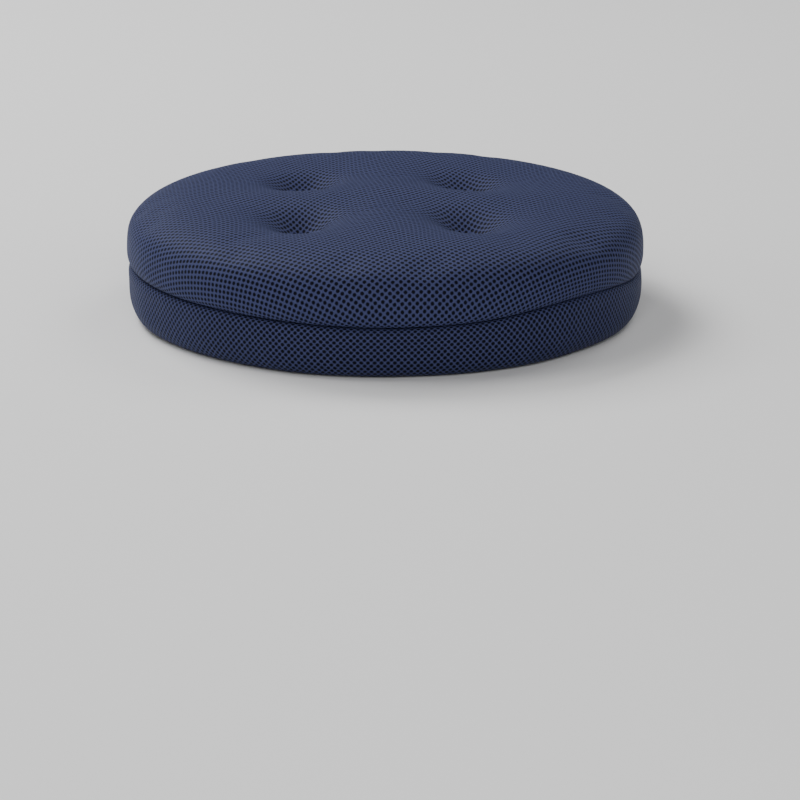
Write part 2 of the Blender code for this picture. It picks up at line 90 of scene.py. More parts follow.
CHANNEL_EXTRA = 0.0040
CHANNEL_REACH = 0.018
CHANNEL_FULL = math.radians(10)
CHANNEL_SHUT = math.radians(-2)

TUFT_RADIUS = 0.031
TUFT_SLOPES = (0.30, 1.20)
TUFT_LIP = 0.0020
TUFT_TIP = 0.0030
TUFT_LEAN = {-1: 0.10, 1: 0.22}
FRONT_TUFT_SQUEEZE = 0.78
GATHER_REACH = 0.058
GATHER_SHARE = 0.85

FABRIC_THICKNESS = 0.0022
RING_STEP = 0.0040
SKIRT_RING_STEP = 0.0020
SKIRT_SECTORS = 192
CORE_HALF = 0.040
CORE_CELLS = 32
CORE_MARGIN = 1.15
CORE_SQUARE = 0.87
CORE_EASE = 0.35

PIN_MARGIN = 0.004
PIN_RADIUS = 0.005
CLOTH_CAP = 0.004
CLOTH_FRAMES = 20
CLOTH_SETTINGS = {
    "quality": 6,
    "mass": 0.3,
    "tension_stiffness": 12,
    "compression_stiffness": 6,
    "shear_stiffness": 4,
    "bending_stiffness": 2.0,
    "air_damping": 3,
    "use_pressure": True,
    "uniform_pressure_force": 4.0,
}

# ---- the mesh fabric's lattice of holes
PAD_PITCH = (0.00485, 0.00443)
PAD_GRAIN = math.radians(6)
SKIRT_REPEATS = 252
SKIRT_PITCH_DOWN = 0.00433
# The holes open wider where the cloth is stretched down into the tufts; this also paints the dimples darker as
# shade.
HOLE_STRETCH_AND_SHADE = 0.00006
STRETCH_AND_SHADE_DROP = 0.012
HOLE_EDGE = (0.00075, 0.00125)
STRAND_CREST = (0.00110, 0.00160)
HOLE_WOBBLE = 0.00035
HOLE_RELIEF = 0.0005
# Painted light on the mesh: a highlight on the strands' crests, shade on their flanks by the holes, and near-black
# shade inside the holes.
MESH_CREST_HIGHLIGHT = ((0.0305, 0.0368, 0.092), (0.057, 0.0675, 0.163))
MESH_SHADE = ((0.018, 0.0220, 0.058), (0.028, 0.034, 0.087))
# Near-black painted shade inside the holes.
MESH_HOLE_SHADE = (0.0006, 0.0009, 0.0050)
WEAVE_RELIEF = 0.00012
KNIT_RELIEF = 0.00015

# ---- the inner pieces
CUT_MARGIN = 0.002
FOAM_INSET = 0.0050
FOAM_LEAST = 0.0006
FOAM_FADE = 0.02
FOAM_EDGE = 0.0012
ANCHOR_CLEARANCE = 0.0008
ANCHOR_EDGE = 0.0007
DISH_SHARE = 0.72
DISH_DEPTH = 0.0005
BASE_EDGE = 0.0004
BASE_THREADS = 1500.0
GRIP_EDGE = 0.0003
GRIP_STITCHES = 1100.0
DISC_RINGS = 24
DOT_PITCH = 0.0060
DOT_RADIUS = 0.0013
DOT_HEIGHT = 0.0003
DOT_STEPS = (1.0, 0.85, 0.45)
DOT_SIDES = 12
DOT_MARGIN = 0.004
TWINE_HALF_SPAN = 0.0025
TWINE_CORNER = 0.0010
TWINE_HOLE_RADIUS = 0.0011
TWINE_LAY = 0.0022
TWINE_PLIES = 2
TUFT_FLOOR_SHARE = 0.8
TWINE_POINTS = 260
PLY_RADIUS = 0.00036
PLY_OFFSET = 0.00030
PADDING_WIDTH = 0.0066
PADDING_LUMP = 0.00012
LINING_FLANGE_RADIUS = 0.131
LINING_THICKNESS = 0.0010
LINING_CORNER = 0.0020
LINING_GATHERS = 84
LINING_SLACK = 0.0002
LINING_KNIT = (780, 950.0)
HEM_INNER_RADIUS = 0.1225
HEM_THICKNESS = 0.0010
HEM_GAP = 0.0006
HEM_GATHERS = 96
HEM_RIPPLE = 0.0004
HEM_STITCH_RADIUS = 0.138
HEM_KNIT = (720, 950.0)
ELASTIC_WIDTH = 0.0055
ELASTIC_EDGE = 0.0004
ELASTIC_RIBS = 900

STITCH_PITCH = 0.0040
STITCH_SHARE = 0.78
STITCH_POINTS = 9
THREAD_RADIUS = 0.00024
TOPSTITCH_SPAN = (math.radians(8), math.radians(172))
TOPSTITCH_MARGIN = 0.0036

TAPE_RADIUS = 0.15315
TAPE_THICKNESS = 0.0005
TAPE_EDGE = 0.0002
TAPE_WEAVE = (1440, 1500.0)
COIL_RADIUS = 0.15490
COIL_THICKNESS = 0.0020
COIL_PITCH = 0.0013
COIL_POINTS = 10
COIL_CENTRE = 0.00138
COIL_HALF = (0.00072, 0.00060)
COIL_FILAMENT = 0.00028
SLIDER_VOXEL = 0.00013
SLIDER_CORNER = 0.0006
PULL_VOXEL = 0.00011
RECESS_SPAN = (0.0064, 0.0176)
RECESS_HALF = 0.0013
RECESS_DEPTH = 0.00018
RECESS_EDGE = 0.0003
WELD = 0.00001
TINY = 1e-9

SLOT_COLOURS = {entry["slot"]: tuple(entry["base_color"][:3]) for entry in frame["record"]["materials"]}


def ellipse_arc(centre, half, exponent, start, end, count):
    """Points (r, z) on a superellipse, from one angle in degrees to another."""
    angles = np.radians(np.linspace(start, end, count))
    across = np.sign(np.cos(angles)) * np.abs(np.cos(angles)) ** (2 / exponent)
    up = np.sign(np.sin(angles)) * np.abs(np.sin(angles)) ** (2 / exponent)
    return np.column_stack((centre[0] + half[0] * across, centre[1] + half[1] * up))


def pad_profile():
    """The pad's outer profile, from the top's centre to the groove's floor."""
    shoulder_top = PAD_TOP - PAD_CROWN
    inner = np.linspace(0, FLAT_RADIUS, 60, endpoint=False)
    crown = PAD_CROWN * (1 - (inner / FLAT_RADIUS) ** 2) ** CROWN_EXPONENT
    top = np.column_stack((inner, shoulder_top + crown))
    shoulder = ellipse_arc(
        (FLAT_RADIUS, PAD_WIDEST), (SHOULDER_WIDTH, shoulder_top - PAD_WIDEST), SHOULDER_EXPONENT, 90, 0, 200
    )
    lip = (PAD_RADIUS - GROOVE_RADIUS, PAD_WIDEST - GROOVE_Z - CREASE_HALF)
    under = ellipse_arc((GROOVE_RADIUS, PAD_WIDEST), lip, 2, 0, -90, 60)[1:]
    floor = [(GROOVE_FLOOR, GROOVE_Z + CREASE_HALF)]
    return np.vstack((top, shoulder, under, floor))


def skirt_profile():
    """The skirt's outer profile, from the groove's floor down and in under the seat's edge."""
    top = GROOVE_Z - CREASE_HALF
    lip_half = (SKIRT_RADIUS - GROOVE_RADIUS, top - SKIRT_WIDEST)
    lip = ellipse_arc((GROOVE_RADIUS, SKIRT_WIDEST), lip_half, 2, 90, 0, 60)
    tuck_half = (TUCK_WIDTH, SKIRT_WIDEST - SKIRT_BOTTOM)
    tuck = ellipse_arc((SKIRT_RADIUS - TUCK_WIDTH, SKIRT_WIDEST), tuck_half, TUCK_EXPONENT, 0, -90, 200)[1:]
    return np.vstack(([(GROOVE_FLOOR, top)], lip, tuck))


def arc_lengths(points):
    """How far along a polyline each of its points is."""
    steps = np.hypot(*np.diff(points, axis=0).T)
    return np.concatenate(([0.0], np.cumsum(steps)))


def draped(sheet, profile, lengths):
    """Lay a flat round sheet over a turned profile."""
    reach = np.hypot(*sheet.T)
    turn = sheet / np.maximum(reach, TINY)[:, None]
    radius = np.interp(reach, lengths, profile[:, 0])
    return np.column_stack((turn * radius[:, None], np.interp(reach, lengths, profile[:, 1])))


def round_points(radius, angle, height):
    """Points from their radii, angles and heights."""
    parts = np.broadcast_arrays(radius * np.cos(angle), radius * np.sin(angle), height)
    return np.stack(parts, axis=-1).reshape(-1, 3)


def down_weave(down):
    """Cloth coordinates that only count the way down a section."""
    zero = np.zeros(len(down))
    return np.column_stack((zero, down, zero))


def smoothstep(value):
    """Ease from 0 to 1."""
    value = np.clip(value, 0.0, 1.0)
    return value * value * (3 - 2 * value)


def rear_share(x, y):
    """How far the zip's channel is open: 0 in front, 1 behind."""
    angle = np.arctan2(y, np.abs(x))
    return smoothstep((angle - CHANNEL_SHUT) / (CHANNEL_FULL - CHANNEL_SHUT))


def open_channel(points, side):
    """Spread the groove's lips for the zip round the back; side is 1 over the groove and -1 under it."""
    lip = GROOVE_Z + side * CREASE_HALF
    share = np.clip(1 - side * (points[:, 2] - lip) / CHANNEL_REACH, 0, 1)
    points[:, 2] += side * CHANNEL_EXTRA * share * rear_share(points[:, 0], points[:, 1])


def bump_at(points, centre, half_width):
    """A smooth bump round the edge: 1 at a heading in degrees, counted from the front to the right."""
    heading = np.degrees(np.arctan2(points[:, 0], -points[:, 1]))
    return smoothstep(1 - np.abs(heading - centre) / half_width)


def fill_crease(points, widest):
    """Make the groove shallower in front, where the two padded edges press together."""
    radius = np.hypot(points[:, 0], points[:, 1])
    near = 1 - smoothstep(np.abs(points[:, 2] - GROOVE_Z) / CREASE_REACH)
    open_share = rear_share(points[:, 0], points[:, 1])
    heading, half_width, share = SHALLOW_CREASE
    depth = CREASE_DEPTH * (1 - share * bump_at(points, heading, half_width))
    keep = 1 - (1 - depth) * (1 - open_share) * near
    wanted = widest - (widest - radius) * keep
    points[:, :2] *= (wanted / np.maximum(radius, TINY))[:, None]


def bend_waist(points):
    """Let the groove wander up and down a little in front, as the seam was sewn."""
    near = 1 - smoothstep(np.abs(points[:, 2] - GROOVE_Z) / WAIST_REACH)
    for heading, half_width, rise in WAIST_WAVES:
        points[:, 2] += rise * near * bump_at(points, heading, half_width)


def add_lumps(points):
    """Soft uneven swellings round the padded edge, fading out in the groove, behind and on the flat top."""
    radius = np.hypot(points[:, 0], points[:, 1])
    edge = smoothstep((radius - FLAT_RADIUS) / SHOULDER_WIDTH * 2)
    away = smoothstep(np.abs(points[:, 2] - GROOVE_Z) / CREASE_REACH)
    closed = 1 - rear_share(points[:, 0], points[:, 1])
    broad_scale, fine_scale = LUMP_SCALES
    broad = np.array([noise.noise(Vector(point) * broad_scale) for point in points])
    fine = np.array([noise.noise(Vector(point) * fine_scale + FINE_LUMP_SHIFT) for point in points])
    move = LUMP_HEIGHT * (broad + FINE_LUMP_SHARE * fine) * edge * away * closed
    points[:, :2] *= (1 + move / np.maximum(radius, TINY))[:, None]


def tuft_centres():
    """The four tufts' places."""
    half_x, half_y = TUFT_HALF
    return [(x, y) for y in (-half_y, half_y) for x in (-half_x, half_x)]


def tuft_drop(points):
    """How deep the tufts pull the pad's top at each point."""
    drop = np.zeros(len(points))
    for tuft_x, tuft_y in tuft_centres():
        side = 1 if tuft_x > 0 else -1
        along = points[:, 1] - tuft_y
        across = points[:, 0] - tuft_x + side * TUFT_LEAN[side] * along
        if tuft_y < 0:
            along = np.where(along < 0, along * FRONT_TUFT_SQUEEZE, along)
        drop += tuft_depth(np.hypot(across, along))
    return drop


def tuft_depth(reach):
    """One tuft's depth at a distance from its middle."""
    outer, inner = TUFT_SLOPES
    inside = TUFT_RADIUS - np.hypot(reach, TUFT_TIP)
    run = TUFT_LIP * np.log1p(np.exp(inside / TUFT_LIP))
    return outer * run + (inner - outer) * run**2 / (2 * TUFT_RADIUS)


def gather_in(sheet):
    """The panel's flat coordinates, drawn in at the tufts as the cloth is."""
    reach = np.linspace(0, TUFT_RADIUS + GATHER_REACH, 300)
    slope = np.gradient(tuft_depth(reach), reach)
    extra = np.concatenate(([0], np.cumsum((np.sqrt(1 + slope[1:] ** 2) - 1) * np.diff(reach))))
    extra *= GATHER_SHARE * (1 - smoothstep((reach - TUFT_RADIUS) / GATHER_REACH))
    drawn = sheet.copy()
    for centre in tuft_centres():
        away = sheet - centre
        length = np.linalg.norm(away, axis=1)
        drawn += away * (np.interp(length, reach, extra) / np.maximum(length, TINY))[:, None]
    return drawn


def flat_disc(radius):
    """A round sheet in the plane, as quads: a square core with rings round it. Returns points and faces."""
    cells = CORE_CELLS
    line = np.linspace(-1, 1, cells + 1)
    core_x, core_y = np.meshgrid(line, line)
    points = [np.column_stack((core_x.ravel(), core_y.ravel())) * CORE_HALF]
    faces = []
    row = cells + 1
    for j in range(cells):
        for i in range(cells):
            a = j * row + i
            faces.append((a, a + 1, a + 1 + row, a + row))
    edge = list(range(cells))
    edge += [cells + row * i for i in range(cells)]
    edge += [cells * row + cells - i for i in range(cells)]
    edge += [(cells - i) * row for i in range(cells)]
    square = points[0][edge]
    count = len(edge)
    angles = -0.75 * math.pi + 2 * math.pi * np.arange(count) / count
    circle = np.column_stack((np.cos(angles), np.sin(angles)))
    start = CORE_HALF * CORE_MARGIN
    rings = max(2, round((radius - start) / RING_STEP))
    before = edge
    total = len(points[0])
    for ring in range(1, rings + 1):
        reach = start + (radius - start) * ring / rings
        roundness = smoothstep(ring / (rings * CORE_EASE))
        squared = square / CORE_HALF * reach * CORE_SQUARE
        points.append(squared * (1 - roundness) + circle * reach * roundness)
        now = [total + i for i in range(count)]
        for i in range(count):
            after = (i + 1) % count
            faces.append((before[i], now[i], now[after], before[after]))
        before = now
        total += count
    return np.vstack(points), faces


def add_object(name, data):
    """An object in the scene."""
    thing = bpy.data.objects.new(name, data)
    bpy.context.scene.collection.objects.link(thing)
    return thing


def mesh_from(name, points, faces, weave=None):
    """A mesh object, with each point's cloth coordinates if it has any."""
    mesh = bpy.data.meshes.new(name)
    mesh.from_pydata(points.tolist(), [], faces)
    if weave is not None:
        attribute = mesh.attributes.new("weave", "FLOAT_VECTOR", "POINT")
        attribute.data.foreach_set("vector", np.asarray(weave, np.float32).ravel())
    mesh.shade_smooth()
    return add_object(name, mesh)


def coordinates(mesh):
    """A mesh's points as an array."""
    flat = np.empty(len(mesh.vertices) * 3)
    mesh.vertices.foreach_get("co", flat)
    return flat.reshape(-1, 3)


def set_coordinates(mesh, points):
    """Move a mesh's points."""
    mesh.vertices.foreach_set("co", np.asarray(points, float).ravel())
    mesh.update()


def bake_modifiers(thing):
    """Apply an object's modifiers to its mesh."""
    bpy.context.view_layer.update()
    depsgraph = bpy.context.evaluated_depsgraph_get()
    mesh = bpy.data.meshes.new_from_object(
        thing.evaluated_get(depsgraph), preserve_all_data_layers=True, depsgraph=depsgraph
    )
    old = thing.data
    thing.modifiers.clear()
    thing.data = mesh
    bpy.data.meshes.remove(old)
    bpy.context.view_layer.update()


def subdivide(thing):
    """Smooth and refine an object's mesh."""
    modifier = thing.modifiers.new("Refine", "SUBSURF")
    modifier.levels = 1
    modifier.render_levels = 1
    bake_modifiers(thing)


def thicken(thing, thickness):
    """Give a sheet its thickness, inwards."""
    modifier = thing.modifiers.new("Thickness", "SOLIDIFY")
    modifier.thickness = thickness
    modifier.offset = -1
    bake_modifiers(thing)


def place(piece, material, slot, *nodes, body="cushion"):
    """Give a piece its material and body, and hide the nodes that it stands for; the slot is not used."""
    piece.data.materials.append(material)
    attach(piece, body)
    if nodes:
        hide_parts(*nodes)


# ---- turned, swept and cut meshes
def grid_faces(rows, columns, wrap_rows=False, wrap_columns=False):
    """Quads over a grid of points that is stored row by row."""
    faces = []
    for j in range(rows if wrap_rows else rows - 1):
        here = j * columns
        below = (j + 1) % rows * columns
        for i in range(columns if wrap_columns else columns - 1):
            after = (i + 1) % columns
            faces.append((here + i, below + i, below + after, here + after))
    return faces


def clean(thing):
    """Weld a mesh's doubled points and turn its faces outwards."""
    work = bmesh.new()
    work.from_mesh(thing.data)
    bmesh.ops.remove_doubles(work, verts=work.verts, dist=WELD)
    bmesh.ops.recalc_face_normals(work, faces=work.faces)
    work.to_mesh(thing.data)
    work.free()


def turned(name, section, sectors, closed=False, start=0.0, sweep=2 * math.pi, shape=None):
    """Turn a section of (r, z) points about Z; shape(r, z, angle) may change it as it goes round."""
    full = math.isclose(sweep, 2 * math.pi)
    columns = sectors if full else sectors + 1
    angle = start + sweep * np.arange(columns) / sectors
    section = np.asarray(section, float)
    radius, height = section[:, :1], section[:, 1:]
    if shape:
        radius, height = shape(radius, height, angle)
    points = round_points(radius, angle, height)
    faces = grid_faces(len(section), columns, closed, full)
    if closed and not full:
        for edge in (0, columns - 1):
            faces.append([row * columns + edge for row in range(len(section))])
    thing = mesh_from(name, points, faces, down_weave(np.repeat(arc_lengths(section), columns)))
    clean(thing)
    return thing


def tube(path, reference, radius, sides, closed=False):
    """A tube's points and faces along a path; the reference vectors keep it from twisting."""
    if closed:
        along = np.roll(path, -1, axis=0) - np.roll(path, 1, axis=0)
    else:
        along = np.gradient(path, axis=0)
    along /= np.linalg.norm(along, axis=1, keepdims=True)
    first = reference - along * np.sum(reference * along, axis=1, keepdims=True)
    first /= np.linalg.norm(first, axis=1, keepdims=True)
    second = np.cross(along, first)
    angles = 2 * math.pi * np.arange(sides) / sides
    ring = first[:, None] * np.cos(angles)[None, :, None] + second[:, None] * np.sin(angles)[None, :, None]
    thickness = np.broadcast_to(np.asarray(radius, float), len(path))
    points = (path[:, None] + ring * thickness[:, None, None]).reshape(-1, 3)
    faces = grid_faces(len(path), sides, closed, True)
    if not closed:
        faces.append(tuple(range(sides)))
        faces.append(tuple(len(points) - sides + i for i in range(sides)))
    return points, faces


def gathered_mesh(name, bits):
    """One mesh from several lots of points and faces."""
    points = []
    faces = []
    total = 0
    for bit_points, bit_faces in bits:
        points.append(bit_points)
        faces += [tuple(total + i for i in face) for face in bit_faces]
        total += len(bit_points)
    thing = mesh_from(name, np.vstack(points), faces)
    clean(thing)
    return thing


def rod(centre, radius, low, high):
    """A cutter: an upright cylinder."""
    bpy.ops.mesh.primitive_cylinder_add(
        vertices=32, radius=radius, depth=high - low, location=(centre[0], centre[1], (low + high) / 2)
    )
    return bpy.context.object


def cut(thing, cutters):
    """Cut closed shapes out of an object."""
    for cutter in cutters:
        modifier = thing.modifiers.new("Cut", "BOOLEAN")
        modifier.operation = "DIFFERENCE"
        modifier.object = cutter
        modifier.solver = "EXACT"
    bake_modifiers(thing)
    for cutter in cutters:
        bpy.data.objects.remove(cutter)


def strip_section(inner, outer, low, high, rounding, steps=4):
    """A closed rectangle of (r, z) points with round corners."""
    left, right = inner + rounding, outer - rounding
    upper, lower = high - rounding, low + rounding
    corners = ((right, upper, 0), (left, upper, 90), (left, lower, 180), (right, lower, 270))
    half = (rounding, rounding)
    return np.vstack([ellipse_arc((r, z), half, 2, start, start + 90, steps + 1) for r, z, start in corners])


def disc_section(radius, low, high, rounding, steps=5):
    """A disc's section, from the middle of its top round the rim to the middle of its bottom."""
    rim = ellipse_arc((radius - rounding, high - rounding), (rounding, rounding), 2, 90, 0, steps + 1)
    under = np.column_stack((rim[::-1, 0], low + high - rim[::-1, 1]))
    inner = np.linspace(0, radius - rounding, DISC_RINGS, endpoint=False)
    top = np.column_stack((inner, np.full(DISC_RINGS, high)))
    bottom = np.column_stack((inner[::-1], np.full(DISC_RINGS, low)))
    return np.vstack((top, rim, under, bottom))


# ---- materials
def scaled(colour, share):
    """A colour made darker or lighter."""
    return tuple(min(1.0, share * c) for c in colour)


def shades(slot, dark=0.35, light=1.25):
    """A darker and a lighter shade of a slot's colour."""
    return scaled(SLOT_COLOURS[slot], dark), scaled(SLOT_COLOURS[slot], light)


class Nodes:
    """A short way to write a material's node tree."""

    def __init__(self, name):
        self.material = bpy.data.materials.new(name)
        self.material.use_nodes = True
        self.tree = self.material.node_tree
        self.shader = self.tree.nodes["Principled BSDF"]

    def add(self, kind, **settings):
        """Add a node and set its properties."""
        node = self.tree.nodes.new(kind)
        for key, value in settings.items():
            setattr(node, key, value)
        return node

    def link(self, source, target):
        """Link an output to an input, or set the input to a plain value."""
        if isinstance(source, bpy.types.NodeSocket):
            self.tree.links.new(source, target)
        else:
            target.default_value = source

    def math(self, operation, *values):
        """A Math node's result."""
        node = self.add("ShaderNodeMath", operation=operation)
        for value, socket in zip(values, node.inputs):
            self.link(value, socket)
        return node.outputs[0]

    def plus(self, first, second):
        """The sum of two values."""
        return self.math("ADD", first, second)

    def minus(self, first, second):
        """The difference of two values."""
        return self.math("SUBTRACT", first, second)

    def times(self, first, second):
        """The product of two values."""
        return self.math("MULTIPLY", first, second)

    def ramp(self, value, low, high, start=0.0, end=1.0):
        """Ease a value from one range to another."""
        node = self.add("ShaderNodeMapRange", interpolation_type="SMOOTHSTEP")
        for source, socket in zip((value, low, high, start, end), node.inputs):
            self.link(source, socket)
        return node.outputs["Result"]

    def mix(self, share, first, second):
        """Mix two colours."""
        node = self.add("ShaderNodeMix", data_type="RGBA")
        self.link(share, node.inputs["Factor"])
        for colour, socket in ((first, node.inputs[6]), (second, node.inputs[7])):
            self.link((*colour, 1.0) if isinstance(colour, tuple) else colour, socket)
        return node.outputs[2]

    def noise(self, vector, scale, detail=2.0, roughness=0.5):
        """A noise texture's value, whose scale is in cycles per metre."""
        node = self.add("ShaderNodeTexNoise")
        self.link(vector, node.inputs["Vector"])
        for key, value in (("Scale", scale), ("Detail", detail), ("Roughness", roughness)):
            node.inputs[key].default_value = value
        return node.outputs["Fac"]

    def position(self):
        """The point on the object, in the object's own frame."""
        return self.add("ShaderNodeTexCoord").outputs["Object"]

    def weave(self):
        """The cloth's own coordinates: across, down and how far it is stretched, which also widens the holes as
        painted shade in the dimples.
        """
        return self.split(self.add("ShaderNodeAttribute", attribute_name="weave").outputs["Vector"])

    def split(self, vector):
        """A vector's X, Y and Z."""
        node = self.add("ShaderNodeSeparateXYZ")
        self.link(vector, node.inputs[0])
        return node.outputs

    def surface(self, colour, bump, **values):
        """Set the shader's colour, its bump (height, depth in metres, strength) and its other values."""
        height, depth, strength = bump
        node = self.add("ShaderNodeBump")
        self.link(height, node.inputs["Height"])
        node.inputs["Distance"].default_value = depth
        node.inputs["Strength"].default_value = strength
        self.link(node.outputs["Normal"], self.shader.inputs["Normal"])
        self.link(colour, self.shader.inputs["Base Color"])
        for key, value in values.items():
            self.link(value, self.shader.inputs[key.replace("_", " ")])
        return self.material


def hole_distance(nodes, across, down, pitch):
    """Distance in metres to the nearest hole of a centred lattice, from lattice coordinates in cycles."""
    local = []
    for diagonal in (nodes.plus(across, down), nodes.minus(across, down)):
        local.append(nodes.minus(diagonal, nodes.math("ROUND", diagonal)))
    offset_x = nodes.times(nodes.plus(*local), pitch[0] / 2)
    offset_y = nodes.times(nodes.minus(*local), pitch[1] / 2)
    return nodes.math("SQRT", nodes.plus(nodes.times(offset_x, offset_x), nodes.times(offset_y, offset_y)))


def spacer_mesh(name, lattice, pitch):
    """Navy spacer mesh: a knitted face with a lattice of round holes, painted near-black as the shade inside them,
    its strands painted lighter on their crests as a highlight and darker on their flanks as shade.
    """
    nodes = Nodes(name)
    position = nodes.position()
    distance = hole_distance(nodes, *lattice(nodes), pitch)
    wobble = nodes.times(nodes.minus(nodes.noise(position, 900.0, 1.0), 0.5), HOLE_WOBBLE)
    # Wider holes where stretched: partly the real stretch, partly painted shade in the dimples.
    edge = nodes.minus(nodes.plus(distance, wobble), nodes.times(nodes.weave()[2], HOLE_STRETCH_AND_SHADE))
    strand = nodes.ramp(edge, *HOLE_EDGE)
    crest = nodes.ramp(edge, *STRAND_CREST)
    fibre = nodes.noise(position, 3500.0)
    patch = nodes.noise(position, 22.0, 3.0)
    # Painted highlight on the strands' crests, painted shade on their flanks.
    face = nodes.mix(crest, nodes.mix(patch, *MESH_SHADE), nodes.mix(fibre, *MESH_CREST_HIGHLIGHT))
    height = nodes.plus(nodes.times(strand, 0.8), nodes.times(crest, 0.25))
    # The holes are painted near-black as the shade inside them.
    return nodes.surface(
        nodes.mix(strand, MESH_HOLE_SHADE, face),
        (nodes.plus(height, nodes.times(fibre, 0.12)), HOLE_RELIEF, 0.8),
        Roughness=0.62,
        Specular_IOR_Level=0.09,
        Sheen_Weight=0.05,
        Sheen_Roughness=0.45,
        Sheen_Tint=(0.45, 0.55, 1.0, 1.0),
    )


def pad_lattice(nodes):
    """The pad's lattice: one flat sheet drawn over the edge, its grain a little askew."""
    x, y, _ = nodes.weave()
    cosine, sine = math.cos(PAD_GRAIN), math.sin(PAD_GRAIN)
    along = nodes.plus(nodes.times(x, cosine), nodes.times(y, sine))
    beside = nodes.minus(nodes.times(y, cosine), nodes.times(x, sine))
    return nodes.math("DIVIDE", along, PAD_PITCH[0]), nodes.math("DIVIDE", beside, PAD_PITCH[1])


def around(nodes, repeats):
    """Cycles round the Z axis, counted from the front."""
    x, y, _ = nodes.split(nodes.position())
    return nodes.times(nodes.math("ARCTAN2", x, nodes.times(y, -1.0)), repeats / (2 * math.pi))


def flat_threads(per_metre):
    """Thread coordinates on a flat panel."""

    def lattice(nodes):
        x, y, _ = nodes.split(nodes.position())
        return nodes.times(x, per_metre), nodes.times(y, per_metre)

    return lattice


def band_threads(repeats, per_metre):
    """Coordinates in repeats round the axis and in repeats down a turned section."""

    def lattice(nodes):
        return around(nodes, repeats), nodes.times(nodes.weave()[1], per_metre)

    return lattice


def thread_height(nodes, across):
    """A round thread's height over its width, from 0 to 1."""
    return nodes.math("ABSOLUTE", nodes.math("SINE", nodes.times(across, math.pi)))


def cloth_surface(nodes, height, dark, light, depth, roughness):
    """Colour, bump and sheen of a cloth whose threads have a height from 0 to 1; the colour is painted darker low
    between the threads as shade and lighter on their tops as a highlight.
    """
    position = nodes.position()
    fibre = nodes.noise(position, 4000.0)
    patch = nodes.noise(position, 30.0, 3.0)
    lit = nodes.mix(patch, scaled(light, 0.85), scaled(light, 1.12))
    shaped = nodes.plus(nodes.times(height, 0.8), nodes.times(fibre, 0.25))
    # Painted shade between the threads, painted highlight on their tops.
    colour = nodes.mix(nodes.ramp(shaped, 0.05, 0.75), dark, lit)
    values = {"Roughness": roughness, "Specular_IOR_Level": 0.25, "Sheen_Weight": 0.08}
    return nodes.surface(colour, (shaped, depth, 0.8), **values)


def woven(name, lattice, dark, light):
    """A plain weave."""
    nodes = Nodes(name)
    across, down = lattice(nodes)
    over = nodes.math("PINGPONG", nodes.plus(nodes.math("FLOOR", across), nodes.math("FLOOR", down)), 1.0)
    warp = nodes.times(thread_height(nodes, across), over)
    weft = nodes.times(thread_height(nodes, down), nodes.minus(1.0, over))
    return cloth_surface(nodes, nodes.plus(warp, weft), dark, light, WEAVE_RELIEF, 0.72)


def herringbone(name, lattice, dark, light):
    """A zip tape's weave: slanting ribs that turn back at every few threads."""
    nodes = Nodes(name)
    across, down = lattice(nodes)
    rib = thread_height(nodes, nodes.plus(across, nodes.math("PINGPONG", down, 4.0)))
    return cloth_surface(nodes, rib, dark, light, WEAVE_RELIEF, 0.66)


def knitted(name, lattice, dark, light):
    """A jersey knit: columns of V-shaped stitches."""
    nodes = Nodes(name)
    across, down = lattice(nodes)
    fold = nodes.math("PINGPONG", across, 0.5)
    leg = thread_height(nodes, nodes.plus(down, nodes.times(fold, 1.3)))
    column = nodes.ramp(fold, 0.02, 0.30, 0.35, 1.0)
    return cloth_surface(nodes, nodes.times(leg, column), dark, light, KNIT_RELIEF, 0.78)


def ribbed(name, repeats, dark, light):
    """Woven elastic: ribs across the band."""
    nodes = Nodes(name)
    return cloth_surface(nodes, thread_height(nodes, around(nodes, repeats)), dark, light, KNIT_RELIEF, 0.7)


def open_cell_foam(name, dark, light, cells):
    """Foam: thin bright walls between pores, the pores painted dark as the shade inside them."""
    nodes = Nodes(name)
    position = nodes.position()
    pores = nodes.add("ShaderNodeTexVoronoi", feature="DISTANCE_TO_EDGE")
    nodes.link(position, pores.inputs["Vector"])
    pores.inputs["Scale"].default_value = cells
    wall = nodes.ramp(pores.outputs["Distance"], 0.04, 0.20, 1.0, 0.0)
    face = nodes.mix(nodes.noise(position, 25.0, 3.0), scaled(light, 0.88), light)
    # The pores are painted dark as shade.
    return nodes.surface(nodes.mix(wall, dark, face), (wall, 0.0003, 0.7), Roughness=0.95)


def wadding_fibre(name):
    """Polyester wadding: pale tangled fibres, the gaps between them painted darker grey as shade."""
    nodes = Nodes(name)
    tangle = nodes.noise(nodes.position(), 420.0, 6.0, 0.75)
    line = nodes.ramp(nodes.math("ABSOLUTE", nodes.minus(tangle, 0.5)), 0.0, 0.06, 1.0, 0.0)
    # Painted shade between the fibres.
    colour = nodes.mix(line, (0.58, 0.59, 0.60), (0.86, 0.87, 0.88))
    return nodes.surface(colour, (tangle, 0.0012, 0.8), Roughness=0.95, Sheen_Weight=0.2)


def yarn(name, dark, light):
    """Spun thread: fine fibres along it, painted darker between them as shade."""
    nodes = Nodes(name)
    fibre = nodes.noise(nodes.position(), 6000.0, 3.0, 0.6)
    return cloth_surface(nodes, fibre, dark, light, 0.00006, 0.6)


def moulded_plastic(name, colour, roughness):
    """Moulded plastic: a faint grain and slightly uneven gloss."""
    nodes = Nodes(name)
    position = nodes.position()
    cloud = nodes.noise(position, 160.0, 3.0)
    gloss = nodes.ramp(cloud, 0.2, 0.8, roughness - 0.06, roughness + 0.08)
    grain = (nodes.noise(position, 2600.0), 0.00003, 0.5)
    return nodes.surface(nodes.mix(cloud, scaled(colour, 0.85), colour), grain, Roughness=gloss)


